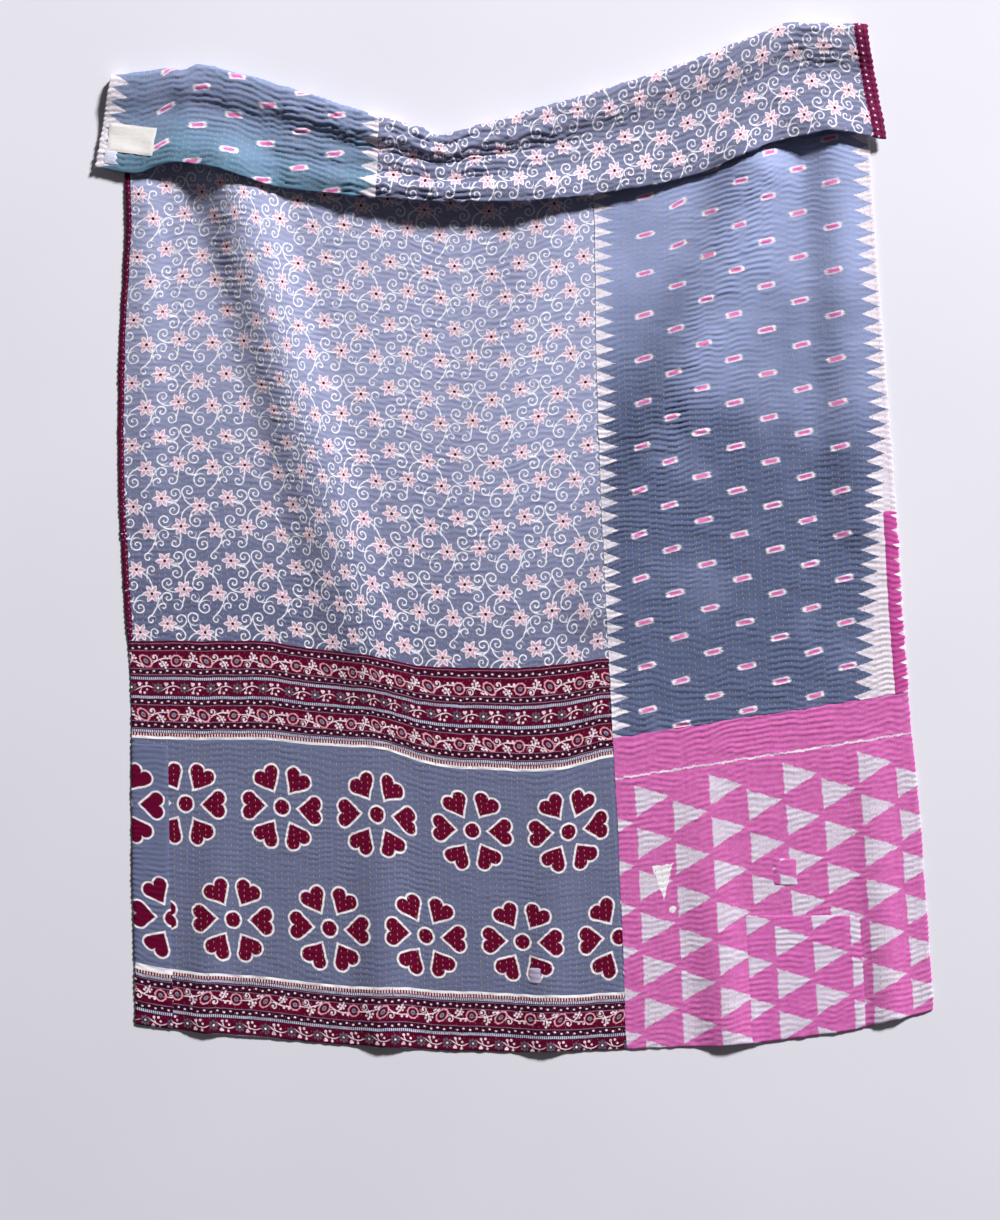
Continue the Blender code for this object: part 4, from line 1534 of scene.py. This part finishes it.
def spun_thread(name, dark, light):
    """Spun cotton thread whose colour differs a little from stitch to stitch."""
    material = bpy.data.materials.new(name)
    material.use_nodes = True
    tree = material.node_tree
    place = add(tree, "TexCoord").node.outputs["Object"]
    noise = add(tree, "TexNoise", place, None, 55.0, 2.0, 0.6)
    share = add(tree, "MapRange", noise, 0.35, 0.65, 0.0, 1.0)
    shader = tree.nodes["Principled BSDF"]
    shader.inputs["Roughness"].default_value = 0.85
    shader.inputs["Specular IOR Level"].default_value = 0.1
    spun = add(tree, "Mix", share, colour(dark), colour(light), data_type="RGBA")
    tree.links.new(spun, shader.inputs["Base Color"])
    twist = add(tree, "TexWave", place, 900.0, 0.5, bands_direction="DIAGONAL")
    tree.links.new(add(tree, "Bump", 0.3, 0.0002, None, twist), shader.inputs["Normal"])
    return material


yellow_thread = spun_thread("spun_yellow_cotton_thread", "#b3883f", "#e0c67f")
dyed_thread = spun_thread("spun_cotton_thread_dyed_red", "#7c2a3f", "#b06a6a")
for piece in thread_pieces:
    piece.data.materials.append(dyed_thread if "border" in piece.name else yellow_thread)

# %% [markdown]
# ## The label and its tab
#
# A small label of cream cotton is sewn on the turned-down end, with a pale blue tab under its
# corner. We give their corners as seen from above, and look for the place on the cloth that lies
# under each point. The label is left blank.

# %% The label and its tab
LABEL_CORNERS = ((-0.7149, 0.6785), (-0.6348, 0.6676), (-0.6274, 0.7179), (-0.7112, 0.7281))
TAB_CORNERS = ((-0.7205, 0.6572), (-0.6985, 0.6550), (-0.6970, 0.6800), (-0.7190, 0.6810))


def under(place):
    """The share across the turned-down cloth and down it that lies under places seen from above."""
    across, down = np.full(place.shape[:-1], 0.05), np.full(place.shape[:-1], 0.5)
    for _ in range(20):
        found = turned_place(across, down)
        across = across + (place[..., 0] - found[..., 0]) / (LIP_RIGHT - LIP_LEFT)
        down = down - (place[..., 1] - found[..., 1]) / 0.165
    return turned_place(across, down)


def sewn_on(name, node, corners, size, rise, cell=0.002):
    """A small piece of cloth sewn flat on the turned-down end, given its four corners."""
    cols, rows = (max(4, round(side / cell)) for side in size)
    s = np.linspace(0.0, 1.0, cols + 1)[None, :, None]
    t = np.linspace(0.0, 1.0, rows + 1)[:, None, None]
    low_left, low_right, high_right, high_left = (np.array(corner) for corner in corners)
    middle = under(mix(mix(low_left, low_right, s), mix(high_left, high_right, s), t))
    u, v = np.broadcast_arrays(s[..., 0] * size[0], t[..., 0] * size[1])
    edge = np.minimum(np.minimum(u, size[0] - u), np.minimum(v, size[1] - v))
    swell = 0.0005 * smooth_noise(u, v, 0.021, 0.017, 5)
    reach = CLOTH / 2 + rise + (0.0007 + swell) * soft_step(edge / 0.005)
    face, place = finish_grid(middle, np.stack((u, v), axis=-1), reach)
    # The label and the tab get no painted shade in troughs.
    place = np.concatenate((place, 0.0 * place[..., :1]), axis=-1)
    piece = grid_mesh(name, face, place)
    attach(piece, "root")
    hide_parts(node)
    return piece


label_patch = sewn_on("label_patch", "label", LABEL_CORNERS, (0.0830, 0.0508), 0.0013)
tab_patch = sewn_on("tab_patch", "label_tab", TAB_CORNERS, (0.0220, 0.0240), 0.0009)
for piece, name, tint, slot in (
    (label_patch, "cream_label_cotton", "#ece8e6", "label_cotton"),
    (tab_patch, "pale_blue_tab_cotton", "#dfe3f6", "tab_cotton"),
):
    material, place = new_cotton(name)
    piece.data.materials.append(woven(material, place, colour(tint)[:3], wear=0.05))
print("the label is", len(label_patch.data.polygons), "faces")

# %% [markdown]
# ## The floor and the light
#
# The quilt lies on a plain pale floor. One soft lamp stands high beyond the quilt's head and to
# the right, so it grazes the cloth: the puckers and the ridges show by their shade, and the
# turned-down end throws a shadow under its lip. The sky fills that shade with a cool pale light.

# %% The floor
floor_mesh = bpy.data.meshes.new("floor")
floor_mesh.from_pydata([(-7, -7, -0.0005), (7, -7, -0.0005), (7, 7, -0.0005), (-7, 7, -0.0005)], [], [(0, 1, 2, 3)])
floor = bpy.data.objects.new("floor", floor_mesh)
bpy.context.scene.collection.objects.link(floor)
painted = bpy.data.materials.new("matt_painted_floor")
painted.use_nodes = True
painted_tree = painted.node_tree
painted_place = add(painted_tree, "TexCoord").node.outputs["Object"]
cloudy = add(painted_tree, "TexNoise", painted_place, None, 1.4, 2.0, 0.5)
cloudy = add(painted_tree, "MapRange", cloudy, 0.3, 0.7, 0.0, 1.0)
painted_shader = painted_tree.nodes["Principled BSDF"]
painted_shader.inputs["Roughness"].default_value = 0.9
painted_tree.links.new(
    add(painted_tree, "Mix", cloudy, colour("#e2e1ea"), colour("#e6e5ee"), data_type="RGBA"), painted_shader.inputs["Base Color"],
)
floor_mesh.materials.append(painted)

# %% The lamp and the sky
LAMP_HEADING, LAMP_HEIGHT_ANGLE, LAMP_DISTANCE = 57.0, 31.0, 16.0
LAMP_SIZE = 2.6
LAMP_POWER = 4440.0
SKY_STRENGTH = 0.078

lamp_data = bpy.data.lights.new("soft_lamp", "AREA")
lamp_data.shape = "DISK"
lamp_data.size = LAMP_SIZE
lamp_data.energy = LAMP_POWER
lamp = bpy.data.objects.new("soft_lamp", lamp_data)
heading, height_angle = math.radians(LAMP_HEADING), math.radians(LAMP_HEIGHT_ANGLE)
lamp.location = (
    LAMP_DISTANCE * math.cos(height_angle) * math.cos(heading),
    LAMP_DISTANCE * math.cos(height_angle) * math.sin(heading),
    LAMP_DISTANCE * math.sin(height_angle),
)
lamp.rotation_euler = (-lamp.location).to_track_quat("-Z", "Y").to_euler()
bpy.context.scene.collection.objects.link(lamp)
world = bpy.data.worlds.new("pale_sky")
world.use_nodes = True
world.node_tree.nodes["Background"].inputs["Color"].default_value = (1.0, 0.93, 0.97, 1.0)
world.node_tree.nodes["Background"].inputs["Strength"].default_value = SKY_STRENGTH
bpy.context.scene.world = world
bpy.context.scene.view_settings.view_transform = "Standard"
print("the lamp is", round(lamp.location.z, 2), "m up")
